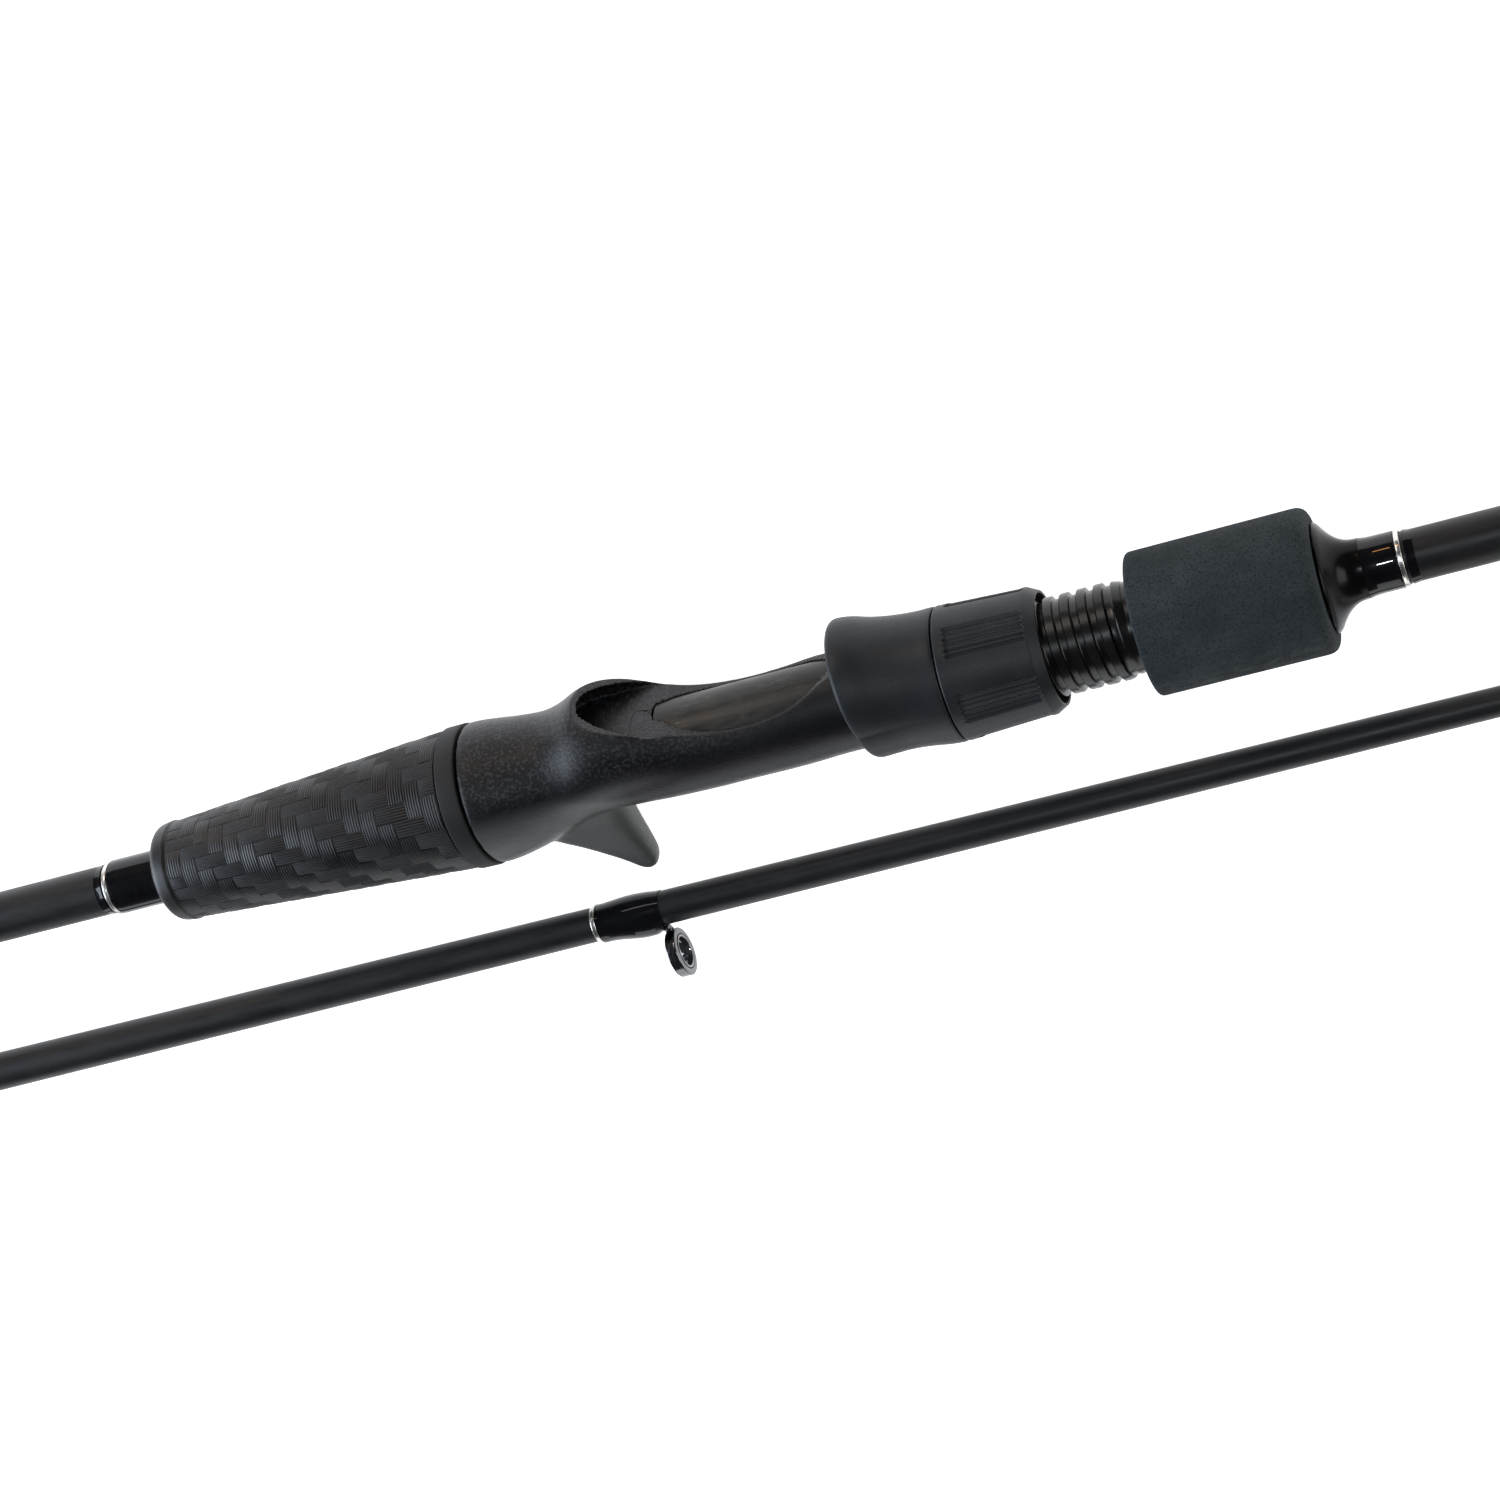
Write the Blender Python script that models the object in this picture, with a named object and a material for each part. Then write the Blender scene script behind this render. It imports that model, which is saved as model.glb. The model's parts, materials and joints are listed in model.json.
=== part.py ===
"""A two-piece baitcasting fishing rod, taken apart, with its two sections lying side by side.

Lengths are in millimetres and become metres when a mesh is made. Each section has its own frame:
x runs along the blank from butt to tip, z points to the side that carries the reel and the guides.
The empties butt_axis and tip_axis lay the two sections on the plane z = 0.
"""

from math import cos, pi, radians, sin, tau

import bmesh
import bpy
from mathutils import Matrix, Vector

MM = 0.001
GAP = 0.3  # clearance between pieces that touch
BOND = 0.12  # glue line under a thin wrap or ring
TRIM_WIDTH = 0.9

# Where each section lies
REST_ROLL = radians(22.5)  # how far the reel side is raised from the horizontal
GUIDE_ROLL = radians(4)
SECTION_SPACING = 33.2
SECTION_SPLAY = radians(0.42)  # the sections lie a little closer at their tip ends
BUTT_AXIS_HEIGHT = 14.2
TIP_AXIS_HEIGHT = 5.15

# Blanks
BUTT_END, BUTT_FRONT = -278.0, 718.0
TIP_REAR, TIP_END = -279.5, 740.5
BLANK_WALL = 1.2
FERRULE_DEPTH = 48.0
FERRULE_BORE = 3.2
SLEEVE_LENGTH = 75.0
SLEEVE_RADIUS = 5.15

# Grips
GRIP_REAR, GRIP_FRONT, COLLAR_FRONT = -125.2, -59.9, -55.6
GRIP_REAR_RADIUS, GRIP_FRONT_RADIUS = 10.0, 14.0
GRIP_SKIN = 2.0
COLLAR_RADIUS = 14.15
BUTT_GRIP_REAR, BUTT_GRIP_FRONT = -275.7, -216.0
BUTT_CAP_END = -282.0
BUTT_CAP_RADIUS = 14.0
FORE_REAR, FORE_FRONT, FORE_RADIUS = 77.0, 110.3, 13.45

# Guides
LEG_ANGLE = radians(38)  # how far below the ring's middle its legs join it
STRIPPER_X, BELLY_X = 440.0, 612.0
LEG_ROOT, WRAP_NEAR, WRAP_BEYOND = 0.6, 1.8, 3.6

# Reel seat
SEAT_REAR, SEAT_FRONT = -55.3, 84.0
SEAT_BORE = 6.2
DECK_HEIGHT = 8.95
INSERT_RADIUS = 8.6
INSERT_REAR, INSERT_FRONT = -17.6, 19.3
POCKET_REAR, POCKET_FLOOR, POCKET_ROOF, POCKET_HALF_WIDTH = -37.5, 8.95, 14.6, 8.4
BARREL_RADIUS, BARREL_STEP = 9.6, 33.0
THREAD_PITCH, THREAD_RADIUS, THREAD_DEPTH = 3.2, 9.2, 0.75
THREAD_FLANK, THREAD_CREST = 0.25, 1.7
THREAD_REAR, THREAD_TURNS = 34.0, 13

# Sliding hood and lock nut
HOOD_MOUTH, HOOD_SLANT, HOOD_FRONT = 22.3, 1.5, 40.3
HOOD_BORE = BARREL_RADIUS + GAP
HOOD_ROOF, HOOD_POCKET_FRONT = 13.9, 34.0
NECK_REAR, NECK_RADIUS = 37.4, 10.9
NUT_REAR, NUT_FRONT = 40.6, 59.8
NUT_REAR_RADIUS, NUT_FRONT_RADIUS = 12.85, 12.0
NUT_CHAMFER = 2.0
NUT_BORE = THREAD_RADIUS + GAP
NUT_RIDGE, NUT_RIDGE_FLANK, NUT_RIDGE_CREST = 0.6, 0.15, 0.3

SIDES = 20  # facets round a large piece
SLIM = 16  # facets round a blank and what is wrapped on it
WIRE = 12  # facets round a guide's ring

COLOURS = {
    "carbon": (0.035, 0.035, 0.038, 0.38, 0.0),
    "gloss": (0.008, 0.008, 0.01, 0.06, 0.0),
    "seat": (0.012, 0.012, 0.015, 0.32, 0.0),
    "hood": (0.028, 0.032, 0.036, 0.42, 0.0),
    "rubber": (0.025, 0.025, 0.026, 0.6, 0.0),
    "foam": (0.035, 0.04, 0.044, 0.85, 0.0),
    "core": (0.3, 0.25, 0.2, 0.8, 0.0),
    "silver": (0.6, 0.6, 0.58, 0.25, 1.0),
    "frame": (0.08, 0.08, 0.085, 0.2, 1.0),
    "ceramic": (0.01, 0.01, 0.01, 0.08, 0.0),
}


def clear_scene():
    for old in list(bpy.data.objects):
        bpy.data.objects.remove(old, do_unlink=True)


def material(slot):
    found = bpy.data.materials.get(slot)
    if found:
        return found
    red, green, blue, roughness, metallic = COLOURS[slot]
    made = bpy.data.materials.new(slot)
    made.use_nodes = True
    shader = made.node_tree.nodes["Principled BSDF"]
    shader.inputs["Base Color"].default_value = (red, green, blue, 1.0)
    shader.inputs["Roughness"].default_value = roughness
    shader.inputs["Metallic"].default_value = metallic
    return made


def empty(name, location, roll=0.0, parent=None):
    """A frame on a section's axis, rolled about x."""
    made = bpy.data.objects.new(name, None)
    made.location = Vector(location) * MM
    made.rotation_euler = (roll, 0.0, 0.0)
    made.parent = parent
    bpy.context.scene.collection.objects.link(made)
    return made


def solid(name, points, faces, slot, parent, angle=35):
    """An object from points in millimetres, with its faces turned outward."""
    mesh = bpy.data.meshes.new(name)
    mesh.from_pydata([Vector(p) * MM for p in points], [], faces)
    work = bmesh.new()
    work.from_mesh(mesh)
    bmesh.ops.remove_doubles(work, verts=work.verts, dist=1e-6)
    bmesh.ops.recalc_face_normals(work, faces=work.faces)
    work.to_mesh(mesh)
    work.free()
    mesh.materials.append(material(slot))
    made = bpy.data.objects.new(name, mesh)
    made.parent = parent
    bpy.context.scene.collection.objects.link(made)
    shade(mesh, angle)
    return made


def shade(mesh, angle=35):
    mesh.shade_smooth()
    mesh.set_sharp_from_angle(angle=radians(angle))


def combine(base, tool, operation):
    """Applies a Boolean of base and tool, both in one section's frame, and removes the tool."""
    parent, base.parent, tool.parent = base.parent, None, None
    cut = base.modifiers.new("cut", "BOOLEAN")
    cut.object = tool
    cut.operation = operation
    cut.solver = "EXACT"
    graph = bpy.context.evaluated_depsgraph_get()
    mesh = bpy.data.meshes.new_from_object(base.evaluated_get(graph))
    base.modifiers.clear()
    mesh.name = base.name
    base.data = mesh
    base.parent = parent
    bpy.data.objects.remove(tool, do_unlink=True)
    shade(mesh)
    return base


def circle(x, radius, sides):
    """Points round the x axis, counted from y towards z."""
    turn = tau / sides
    return [(x, radius * cos(k * turn), radius * sin(k * turn)) for k in range(sides)]


def lofted(rings, closed):
    """Faces between rings of equal count, in order. A closed loft joins its last ring to its first."""
    count = len(rings[0])
    points = [p for ring in rings for p in ring]
    faces = []
    steps = len(rings) if closed else len(rings) - 1
    for i in range(steps):
        low, high = i * count, (i + 1) % len(rings) * count
        for k in range(count):
            n = (k + 1) % count
            faces.append((low + k, low + n, high + n, high + k))
    if not closed:
        faces.append(tuple(range(count)))
        faces.append(tuple(range(len(points) - count, len(points))))
    return points, faces


def tube(name, outline, slot, parent, sides=SIDES):
    """A ring turned round x from a closed outline of (x, radius)."""
    return solid(name, *lofted([circle(x, r, sides) for x, r in outline], True), slot, parent)


def turned(name, outline, slot, parent, sides=SIDES):
    """A solid turned round x from an open outline of (x, radius), with flat ends."""
    return solid(name, *lofted([circle(x, r, sides) for x, r in outline], False), slot, parent)


def prism(name, side, half_width, slot, parent):
    """An outline of (x, z), extruded both ways along y."""
    rings = [[(x, y, z) for x, z in side] for y in (-half_width, half_width)]
    return solid(name, *lofted(rings, False), slot, parent)


def between(table, x):
    """Reads a row of numbers at x from a table of (x, ...) rows, on a smooth curve through them."""
    x = min(max(x, table[0][0]), table[-1][0])
    k = max(i for i, row in enumerate(table[:-1]) if row[0] <= x)
    low, high = table[k], table[k + 1]
    before, after = table[max(k - 1, 0)], table[min(k + 2, len(table) - 1)]
    span = high[0] - low[0]
    t = (x - low[0]) / span
    found = []
    for a, b, c, d in zip(before[1:], low[1:], high[1:], after[1:]):
        leave = (c - a) / (high[0] - before[0]) * span
        arrive = (d - b) / (after[0] - low[0]) * span
        bend = 3 * (c - b) - 2 * leave - arrive
        twist = leave + arrive - 2 * (c - b)
        found.append(b + t * (leave + t * (bend + t * twist)))
    return found


def butt_radius(x):
    """The butt blank's outer radius: nearly parallel in the handle, then a steady taper."""
    return 4.7 - (x - 142) * (0.00115 if x < 142 else 0.0027)


def tip_radius(x):
    """The tip blank's outer radius: two straight tapers that end in a slim tip."""
    return 2.78 - (x - 142) * (0.0036 if x < 142 else 0.00315)


def arc(centre_x, centre_r, radius, start, end, steps=4):
    """Points of a rounded corner in an outline, with its angles in degrees."""
    turns = [radians(start + (end - start) * k / steps) for k in range(steps + 1)]
    return [(centre_x + radius * cos(a), centre_r + radius * sin(a)) for a in turns]


# Wraps, rings and guides


def trim_ring(name, parent, radius_at, x, height):
    """A thin metal band round a blank, centred on x."""
    low, high = x - TRIM_WIDTH / 2, x + TRIM_WIDTH / 2
    outer, inner = radius_at(x) + height, radius_at(x) + BOND
    band = [(low, outer), (high, outer), (high, inner), (low, inner)]
    tube(name, band, "silver", parent, SLIM)


def wrap(name, parent, radius_at, plain, ringed, height):
    """A varnished thread wrap, from its plain end to the end that a metal trim ring closes."""
    way = 1 if ringed > plain else -1
    crown = radius_at(ringed) + height
    outline = [(plain, radius_at(plain) + 0.3), (plain + 0.8 * way, crown), (ringed, crown)]
    outline += [(ringed, radius_at(ringed) + BOND), (plain, radius_at(plain) + BOND)]
    tube(name, outline, "gloss", parent, SLIM)
    ring_name = name.replace("wrap", "trim_ring")
    trim_ring(ring_name, parent, radius_at, ringed + (TRIM_WIDTH / 2 + BOND) * way, height + 0.06)


def loft_bar(name, stations, slot, parent, sides=5):
    """A tapered bar through stations of (centre, half width along x, half width across)."""
    rings = []
    for (cx, cy, cz), along, across in stations:
        turns = [tau * (k + 0.5) / sides for k in range(sides)]
        rings.append([(cx + along * cos(a), cy + across * sin(a), cz) for a in turns])
    return solid(name, *lofted(rings, False), slot, parent)


def guide(name, parent, x, blank, bore, rim, height, foot, double=False):
    """A line guide: a ceramic ring held in a wire frame, whose foot lies on the blank."""
    place = empty(f"{name}_place", (x, 0, 0), parent=parent)
    lean = Matrix.Translation((0, 0, height * MM)) @ Matrix.Rotation(radians(10), 4, "Y")
    outer, inner, deep = rim, bore + 0.7 + GAP, 0.9
    middle = (outer + inner) / 2
    hoop = tube(f"{name}_frame", [(-deep, outer - 0.2), (deep, outer), (deep, inner), (-deep, inner)],
                "frame", None, WIRE)
    hoop.data.transform(lean)
    seat = blank + GAP
    ends = (-1, 1) if double else (-1,)
    for end in ends:
        for side in (-1, 1):
            joint = (end * 0.5, side * middle * cos(LEG_ANGLE), height - middle * sin(LEG_ANGLE))
            middle_z = seat + (joint[2] - seat) * 0.45
            leg = loft_bar("leg", [((end * LEG_ROOT, side * 0.6, seat + 0.1), 0.8, 0.8),
                                   ((end * LEG_ROOT, side * 1.3, middle_z), 0.7, 0.6),
                                   (joint, 0.7, 0.34)], "frame", None)
            combine(hoop, leg, "UNION")
        near, far = 0.3 * end, foot * end
        plate = prism("plate", [(near, seat), (far, seat), (far, seat + 0.2), (near, seat + 0.6)],
                      1.2, "frame", None)
        combine(hoop, plate, "UNION")
    hoop.parent = place
    ring = [(-0.8, bore), (0.8, bore), (0.8, bore + 0.7), (-0.8, bore + 0.7)]
    insert = tube(f"{name}_ring", ring, "ceramic", None, WIRE)
    insert.data.transform(lean)
    insert.parent = place
    return ends


def guide_wrap(name, parent, radius_at, x, end, foot, ring):
    """The varnished wrap over a guide's foot, with a slot where the foot lies."""
    near, far = x + WRAP_NEAR * end, x + (foot + WRAP_BEYOND) * end
    start, stop = min(near, far), max(near, far)
    surface = radius_at((start + stop) / 2)
    crown = surface + 1.4
    low, high = (5.0, 1.0) if end < 0 else (1.0, 5.0)
    outline = [(start, surface + 0.35), (start + low, crown), (stop - high, crown), (stop, surface + 0.35)]
    outline += [(stop, radius_at(stop) + BOND), (start, radius_at(start) + BOND)]
    if end < 0:
        outline[3] = (stop, surface + 1.3)
    else:
        outline[0] = (start, surface + 1.3)
    body = tube(name, outline, "gloss", None, SLIM)
    tip = x + (foot + GAP) * end
    slot = prism("slot", [(near - end, surface - 0.4), (tip, surface - 0.4), (tip, surface + 0.75),
                          (near - end, surface + 1.1)], 1.4, "gloss", None)
    combine(body, slot, "DIFFERENCE")
    body.parent = parent
    if ring:
        edge = far + (TRIM_WIDTH / 2 + BOND) * end
        trim_ring(name.replace("wrap", "trim_ring"), parent, radius_at, edge, 0.6)


# Reel seat


def seat_section(x):
    """The seat's outer radius on the reel side, at its flanks and on the trigger side."""
    return between([
        (-55.3, 14.1, 14.1, 14.1), (-51, 13.8, 13.75, 13.7), (-45, 13.0, 12.9, 12.4),
        (-40, 12.6, 12.5, 10.6), (-37.5, 12.9, 12.3, 9.4), (-34.5, 13.8, 12.2, 8.4),
        (-31, 15.4, 12.0, 7.7), (-27, 16.2, 11.6, 7.7), (-22.7, 15.7, 11.1, 8.0),
        (-18.6, 14.1, 10.7, 8.9), (-14.4, 12.2, 10.45, 9.4), (-10.3, 10.8, 10.25, 9.7),
        (-6, 10.1, 10.05, 9.9), (-2, 9.85, 9.85, 9.95), (2, 9.75, 9.75, 10.05), (9, 9.7, 9.7, 10.05),
        (14, 9.65, 9.65, 9.8), (17.2, BARREL_RADIUS, BARREL_RADIUS, BARREL_RADIUS),
        (40, BARREL_RADIUS, BARREL_RADIUS, BARREL_RADIUS),
    ], x)


def seat_keel(x):
    """Where the seat's flanks turn under towards the trigger, and how sharply: a power of 1 is a crease."""
    return between([
        (-55, 0.0, 2.0), (-50, 0.3, 2.0), (-45, 0.34, 1.3), (-38, 0.21, 1.0), (-33, 0.08, 1.0), (-28, -0.1, 1.0),
        (-23, -0.1, 1.5), (-16, 0.0, 2.0), (40, 0.0, 2.0),
    ], x)


def oval(x, top, flank, bottom, keel=(0.0, 2.0), sides=SIDES):
    """A ring whose radius eases from the reel side through the flanks to the trigger side.

    Below a line on its flanks, keel's height on a scale of one, it narrows with keel's power.
    """
    height, power = keel
    ring = []
    for k in range(sides):
        turn = tau * k / sides
        up = sin(turn)
        radius = flank + (top - flank) * max(up, 0)
        if up < height:
            radius += (bottom - flank) * ((height - up) / (1 + height)) ** power
        ring.append((x, radius * cos(turn), radius * sin(turn)))
    return ring


def deck_line():
    """The reel deck's height along the seat: a saddle between the two hoods."""
    line = [(-31.0, 17.5), (-30.0, 15.0), (-27.5, 13.8), (-24.0, 12.4), (-20.0, 10.7), (-16.5, 9.2)]
    line += [(-13.0, 7.85), (-9.5, 6.8), (-5.5, 5.95), (-1.0, 5.45), (4.0, 5.45), (9.0, 5.95), (13.0, 6.9)]
    front = BARREL_STEP + 0.2
    return line + [(17.0, 8.2), (INSERT_FRONT + 0.9, DECK_HEIGHT), (front, DECK_HEIGHT), (front, 17.0)]


def arch(x, half_width, floor, spring, roof, steps=10):
    """A doorway across the reel side: a flat floor, and an elliptical roof above the spring line."""
    turns = [pi * k / steps for k in range(steps + 1)]
    ring = [(x, half_width * cos(a), spring + (roof - spring) * sin(a)) for a in turns]
    return ring + [(x, -half_width, floor), (x, half_width, floor)]


def thread_rows(rear, turns, root, depth, flank, crest, sides):
    """Points of a helical thread: rows that climb one pitch in each turn round x."""
    offsets = (0.0, flank, flank + crest, 2 * flank + crest)
    length = THREAD_PITCH * turns
    rows = []
    for k in range(4 * turns + 1):
        base = rear + THREAD_PITCH * (k // 4) + offsets[k % 4]
        row = []
        for j in range(sides):
            turn = tau * j / sides
            x = base + THREAD_PITCH * j / sides
            grown = min((x - rear) / THREAD_PITCH - 1, (rear + length - x) / THREAD_PITCH, 1)
            radius = root + (depth * max(grown, 0) if k % 4 in (1, 2) else 0)
            row.append((x, radius * cos(turn), radius * sin(turn)))
        rows.append(row)
    return rows


def thread_faces(before, first, turns, after, sides):
    """Faces of the thread, joined to the ring of points before it and the ring after it."""

    def at(k, j):
        return first + k * sides + j

    last = 4 * turns
    faces = []
    for k in range(last):
        for j in range(sides - 1):
            faces.append((at(k, j), at(k, j + 1), at(k + 1, j + 1), at(k + 1, j)))
    end = sides - 1
    for k in range(last - 4):
        faces.append((at(k, end), at(k + 4, 0), at(k + 5, 0), at(k + 1, end)))
    for j in range(end):
        faces.append((before + j, before + j + 1, at(0, j + 1), at(0, j)))
        faces.append((at(last, j), at(last, j + 1), after + j + 1, after + j))
    faces.append((before + end, before, *(at(k, 0) for k in range(5)), at(0, end)))
    faces.append((at(last - 4, end), at(last, 0), after, after + end,
                  *(at(k, end) for k in range(last, last - 4, -1))))
    return faces


def ring_faces(low, high, sides):
    return [(low + k, low + (k + 1) % sides, high + (k + 1) % sides, high + k) for k in range(sides)]


def seat_blank(parent):
    """The seat's outside before its hollows are cut, with the thread on its barrel."""
    root = THREAD_RADIUS - THREAD_DEPTH
    stations = [-55.3, -53, -49.5, -45, -42, -39.5, -37, -34, -31, -28, -25, -21.5, -18,
                -13.5, -8, -2, 5, 15, BARREL_STEP]
    rings = [oval(x, *seat_section(x), seat_keel(x)) for x in stations]
    rings.append(circle(BARREL_STEP, root, SIDES))
    rings.append(circle(THREAD_REAR - 0.3, root, SIDES))
    points, faces = lofted(rings, False)
    faces.pop()
    before = len(points) - SIDES
    first = len(points)
    rows = thread_rows(THREAD_REAR, THREAD_TURNS, root, THREAD_DEPTH, THREAD_FLANK, THREAD_CREST, SIDES)
    points += [p for row in rows for p in row]
    after = len(points)
    points += circle(THREAD_REAR + THREAD_PITCH * (THREAD_TURNS + 1) + 0.3, root, SIDES)
    points += circle(SEAT_FRONT, root, SIDES)
    faces += thread_faces(before, first, THREAD_TURNS, after, SIDES)
    faces += ring_faces(after, after + SIDES, SIDES)
    faces.append(tuple(range(after + SIDES, after + 2 * SIDES)))
    return solid("reel_seat_body", points, faces, "seat", parent)


def trigger(parent):
    """The finger trigger: a blunt fin that leaves the seat on the side away from the reel."""
    table = [  # depth below the axis, rear edge, front edge, half thickness
        (1.0, -50.0, -27.6, 10.4), (4.0, -50.0, -28.3, 8.3), (7.0, -49.5, -28.9, 6.5), (10.0, -48.5, -29.2, 5.6),
        (13.0, -46.0, -29.3, 5.0), (16.0, -42.2, -29.2, 4.4), (19.0, -38.8, -29.0, 3.85),
        (22.0, -35.7, -28.8, 3.3), (24.8, -33.3, -28.9, 2.8), (26.0, -32.3, -29.7, 2.2),
    ]
    rings = []
    for depth, rear, front, half in table:
        ring = []
        for k in range(10):
            turn = tau * (k + 0.5) / 10
            c, s = cos(turn), sin(turn)
            scale = (abs(c) ** 3 + abs(s) ** 3) ** (-1 / 3)
            ring.append(((rear + front) / 2 + (front - rear) / 2 * c * scale, half * s * scale, -depth))
        rings.append(ring)
    return solid("trigger", *lofted(rings, False), "seat", parent)


def reel_seat(parent):
    body = seat_blank(None)
    combine(body, trigger(None), "UNION")
    combine(body, prism("deck_cut", deck_line(), 20, "seat", None), "DIFFERENCE")
    base = POCKET_FLOOR
    widths = [  # station, share of the full width, fall of the floor
        (POCKET_REAR, 0.3, 0), (POCKET_REAR + 1.5, 0.52, 0), (-33.5, 0.78, 0), (-30.5, 0.97, 0), (-28, 1.0, 0),
        (-19, 1.0, 0), (-17.5, 1.0, 0.14), (-15.5, 1.0, 0.5), (-12, 1.0, 1.15),
    ]
    rings = [arch(x, POCKET_HALF_WIDTH * share, base - fall, base + 0.2,
                  base + (POCKET_ROOF - base) * share) for x, share, fall in widths]
    combine(body, solid("pocket", *lofted(rings, False), "seat", None), "DIFFERENCE")
    bore = [(SEAT_REAR - 1, SEAT_BORE), (INSERT_REAR - GAP, SEAT_BORE),
            (INSERT_REAR - GAP, INSERT_RADIUS + GAP), (INSERT_FRONT + GAP, INSERT_RADIUS + GAP),
            (INSERT_FRONT + GAP, SEAT_BORE), (SEAT_FRONT + 1, SEAT_BORE)]
    combine(body, turned("bore", bore, "seat", None), "DIFFERENCE")
    body.parent = parent
    inner = butt_radius(0) + GAP
    tube("deck_insert", [(INSERT_REAR, INSERT_RADIUS), (INSERT_FRONT, INSERT_RADIUS),
                         (INSERT_FRONT, inner + 0.4), (INSERT_REAR, inner + 0.4)], "carbon", parent)
    for name, start, end in (("rear_bushing", -53.0, -21.0), ("front_bushing", 22.0, 82.0)):
        tube(name, [(start, SEAT_BORE - GAP), (end, SEAT_BORE - GAP), (end, butt_radius(end) + GAP),
                    (start, butt_radius(start) + GAP)], "core", parent, SLIM)


def sliding_hood(parent):
    """The hood that slides up to the front of the reel foot."""
    table = [
        (HOOD_MOUTH, 15.3, 12.4, 11.1), (23, 15.8, 12.7, 11.4), (25.5, 15.5, 12.6, 11.4),
        (29, 14.3, 12.3, 11.5), (33, 13.4, 12.3, 12.0), (37, 12.9, 12.6, 12.7),
        (HOOD_FRONT - 0.4, 12.85, 12.85, 12.85), (HOOD_FRONT, 12.65, 12.65, 12.65),
    ]
    rings = []
    for x, top, flank, bottom in table:
        share = (HOOD_FRONT - x) / (HOOD_FRONT - HOOD_MOUTH)
        ring = oval(x, top, flank, bottom)
        rings.append([(x - HOOD_SLANT * share * sin(tau * k / SIDES), y, z)
                      for k, (_, y, z) in enumerate(ring)])
    body = solid("hood", *lofted(rings, False), "hood", None)
    recess = NECK_RADIUS + GAP
    shoulder = NECK_REAR - 1.1
    bore = [(10, HOOD_BORE), (shoulder, HOOD_BORE), (shoulder, recess), (HOOD_FRONT + 1, recess)]
    combine(body, turned("bore", bore, "hood", None), "DIFFERENCE")
    ends = [(10, 8.0, HOOD_ROOF), (HOOD_POCKET_FRONT - 7.5, 8.0, HOOD_ROOF), (HOOD_POCKET_FRONT, 7.0, 11.4)]
    pocket = [arch(x, half, 5.0, 8.2, roof) for x, half, roof in ends]
    combine(body, solid("pocket", *lofted(pocket, False), "hood", None), "DIFFERENCE")
    body.parent = parent
    return body


def lock_nut(parent):
    """The nut that drives the hood, with a neck that turns in the hood's front recess."""
    chamfer = NUT_FRONT - NUT_CHAMFER
    outline = [(NECK_REAR, NUT_BORE + 0.4), (NECK_REAR, NECK_RADIUS), (NUT_REAR, NECK_RADIUS),
               (NUT_REAR, NUT_REAR_RADIUS - 0.2), (NUT_REAR + 0.3, NUT_REAR_RADIUS),
               (chamfer, NUT_FRONT_RADIUS), (NUT_FRONT, NUT_FRONT_RADIUS - 1.1),
               (NUT_FRONT, 10.4), (NUT_FRONT - 2.6, 10.2), (NUT_FRONT - 3.0, NUT_BORE)]
    rings = [circle(x, r, SIDES) for x, r in outline]
    points, faces = lofted(rings, False)
    faces = faces[:-2]
    root = NUT_BORE
    pitches = 1  # whole turns between the start of the seat's thread and the nut's first ridge
    groove = (2 * THREAD_FLANK + THREAD_CREST + THREAD_PITCH) / 2
    rear = THREAD_REAR + THREAD_PITCH * pitches + groove - NUT_RIDGE_FLANK - NUT_RIDGE_CREST / 2
    turns = 4
    first = len(points)
    rows = thread_rows(rear, turns, root, -NUT_RIDGE, NUT_RIDGE_FLANK, NUT_RIDGE_CREST, SIDES)
    points += [p for row in rows for p in row]
    inside = len(points)
    points += circle(rear - 0.3, root, SIDES)
    faces += thread_faces(inside, first, turns, first - SIDES, SIDES)
    faces += ring_faces(0, inside, SIDES)
    solid("nut", points, faces, "hood", parent)
    start = NECK_REAR - 0.8
    tube("nut_washer", [(start, NECK_RADIUS), (start + 0.5, NECK_RADIUS), (start + 0.5, HOOD_BORE),
                        (start, HOOD_BORE)], "silver", parent)


# Sections


def blank_tube(name, radius_at, stations, wall, parent, plug=None):
    """A tapered carbon blank, hollow from end to end."""
    outline = [(x, radius_at(x)) for x in stations]
    back = [(x, max(radius_at(x) - wall, 0.35)) for x in reversed(stations)]
    if plug:
        bore, depth = plug
        start = stations[0]
        step = radius_at(start + depth) - wall
        back = [p for p in back if p[0] > start + depth]
        back += [(start + depth, step), (start + depth, bore), (start, bore)]
    tube(name, outline + back, "carbon", parent, SLIM)


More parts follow.
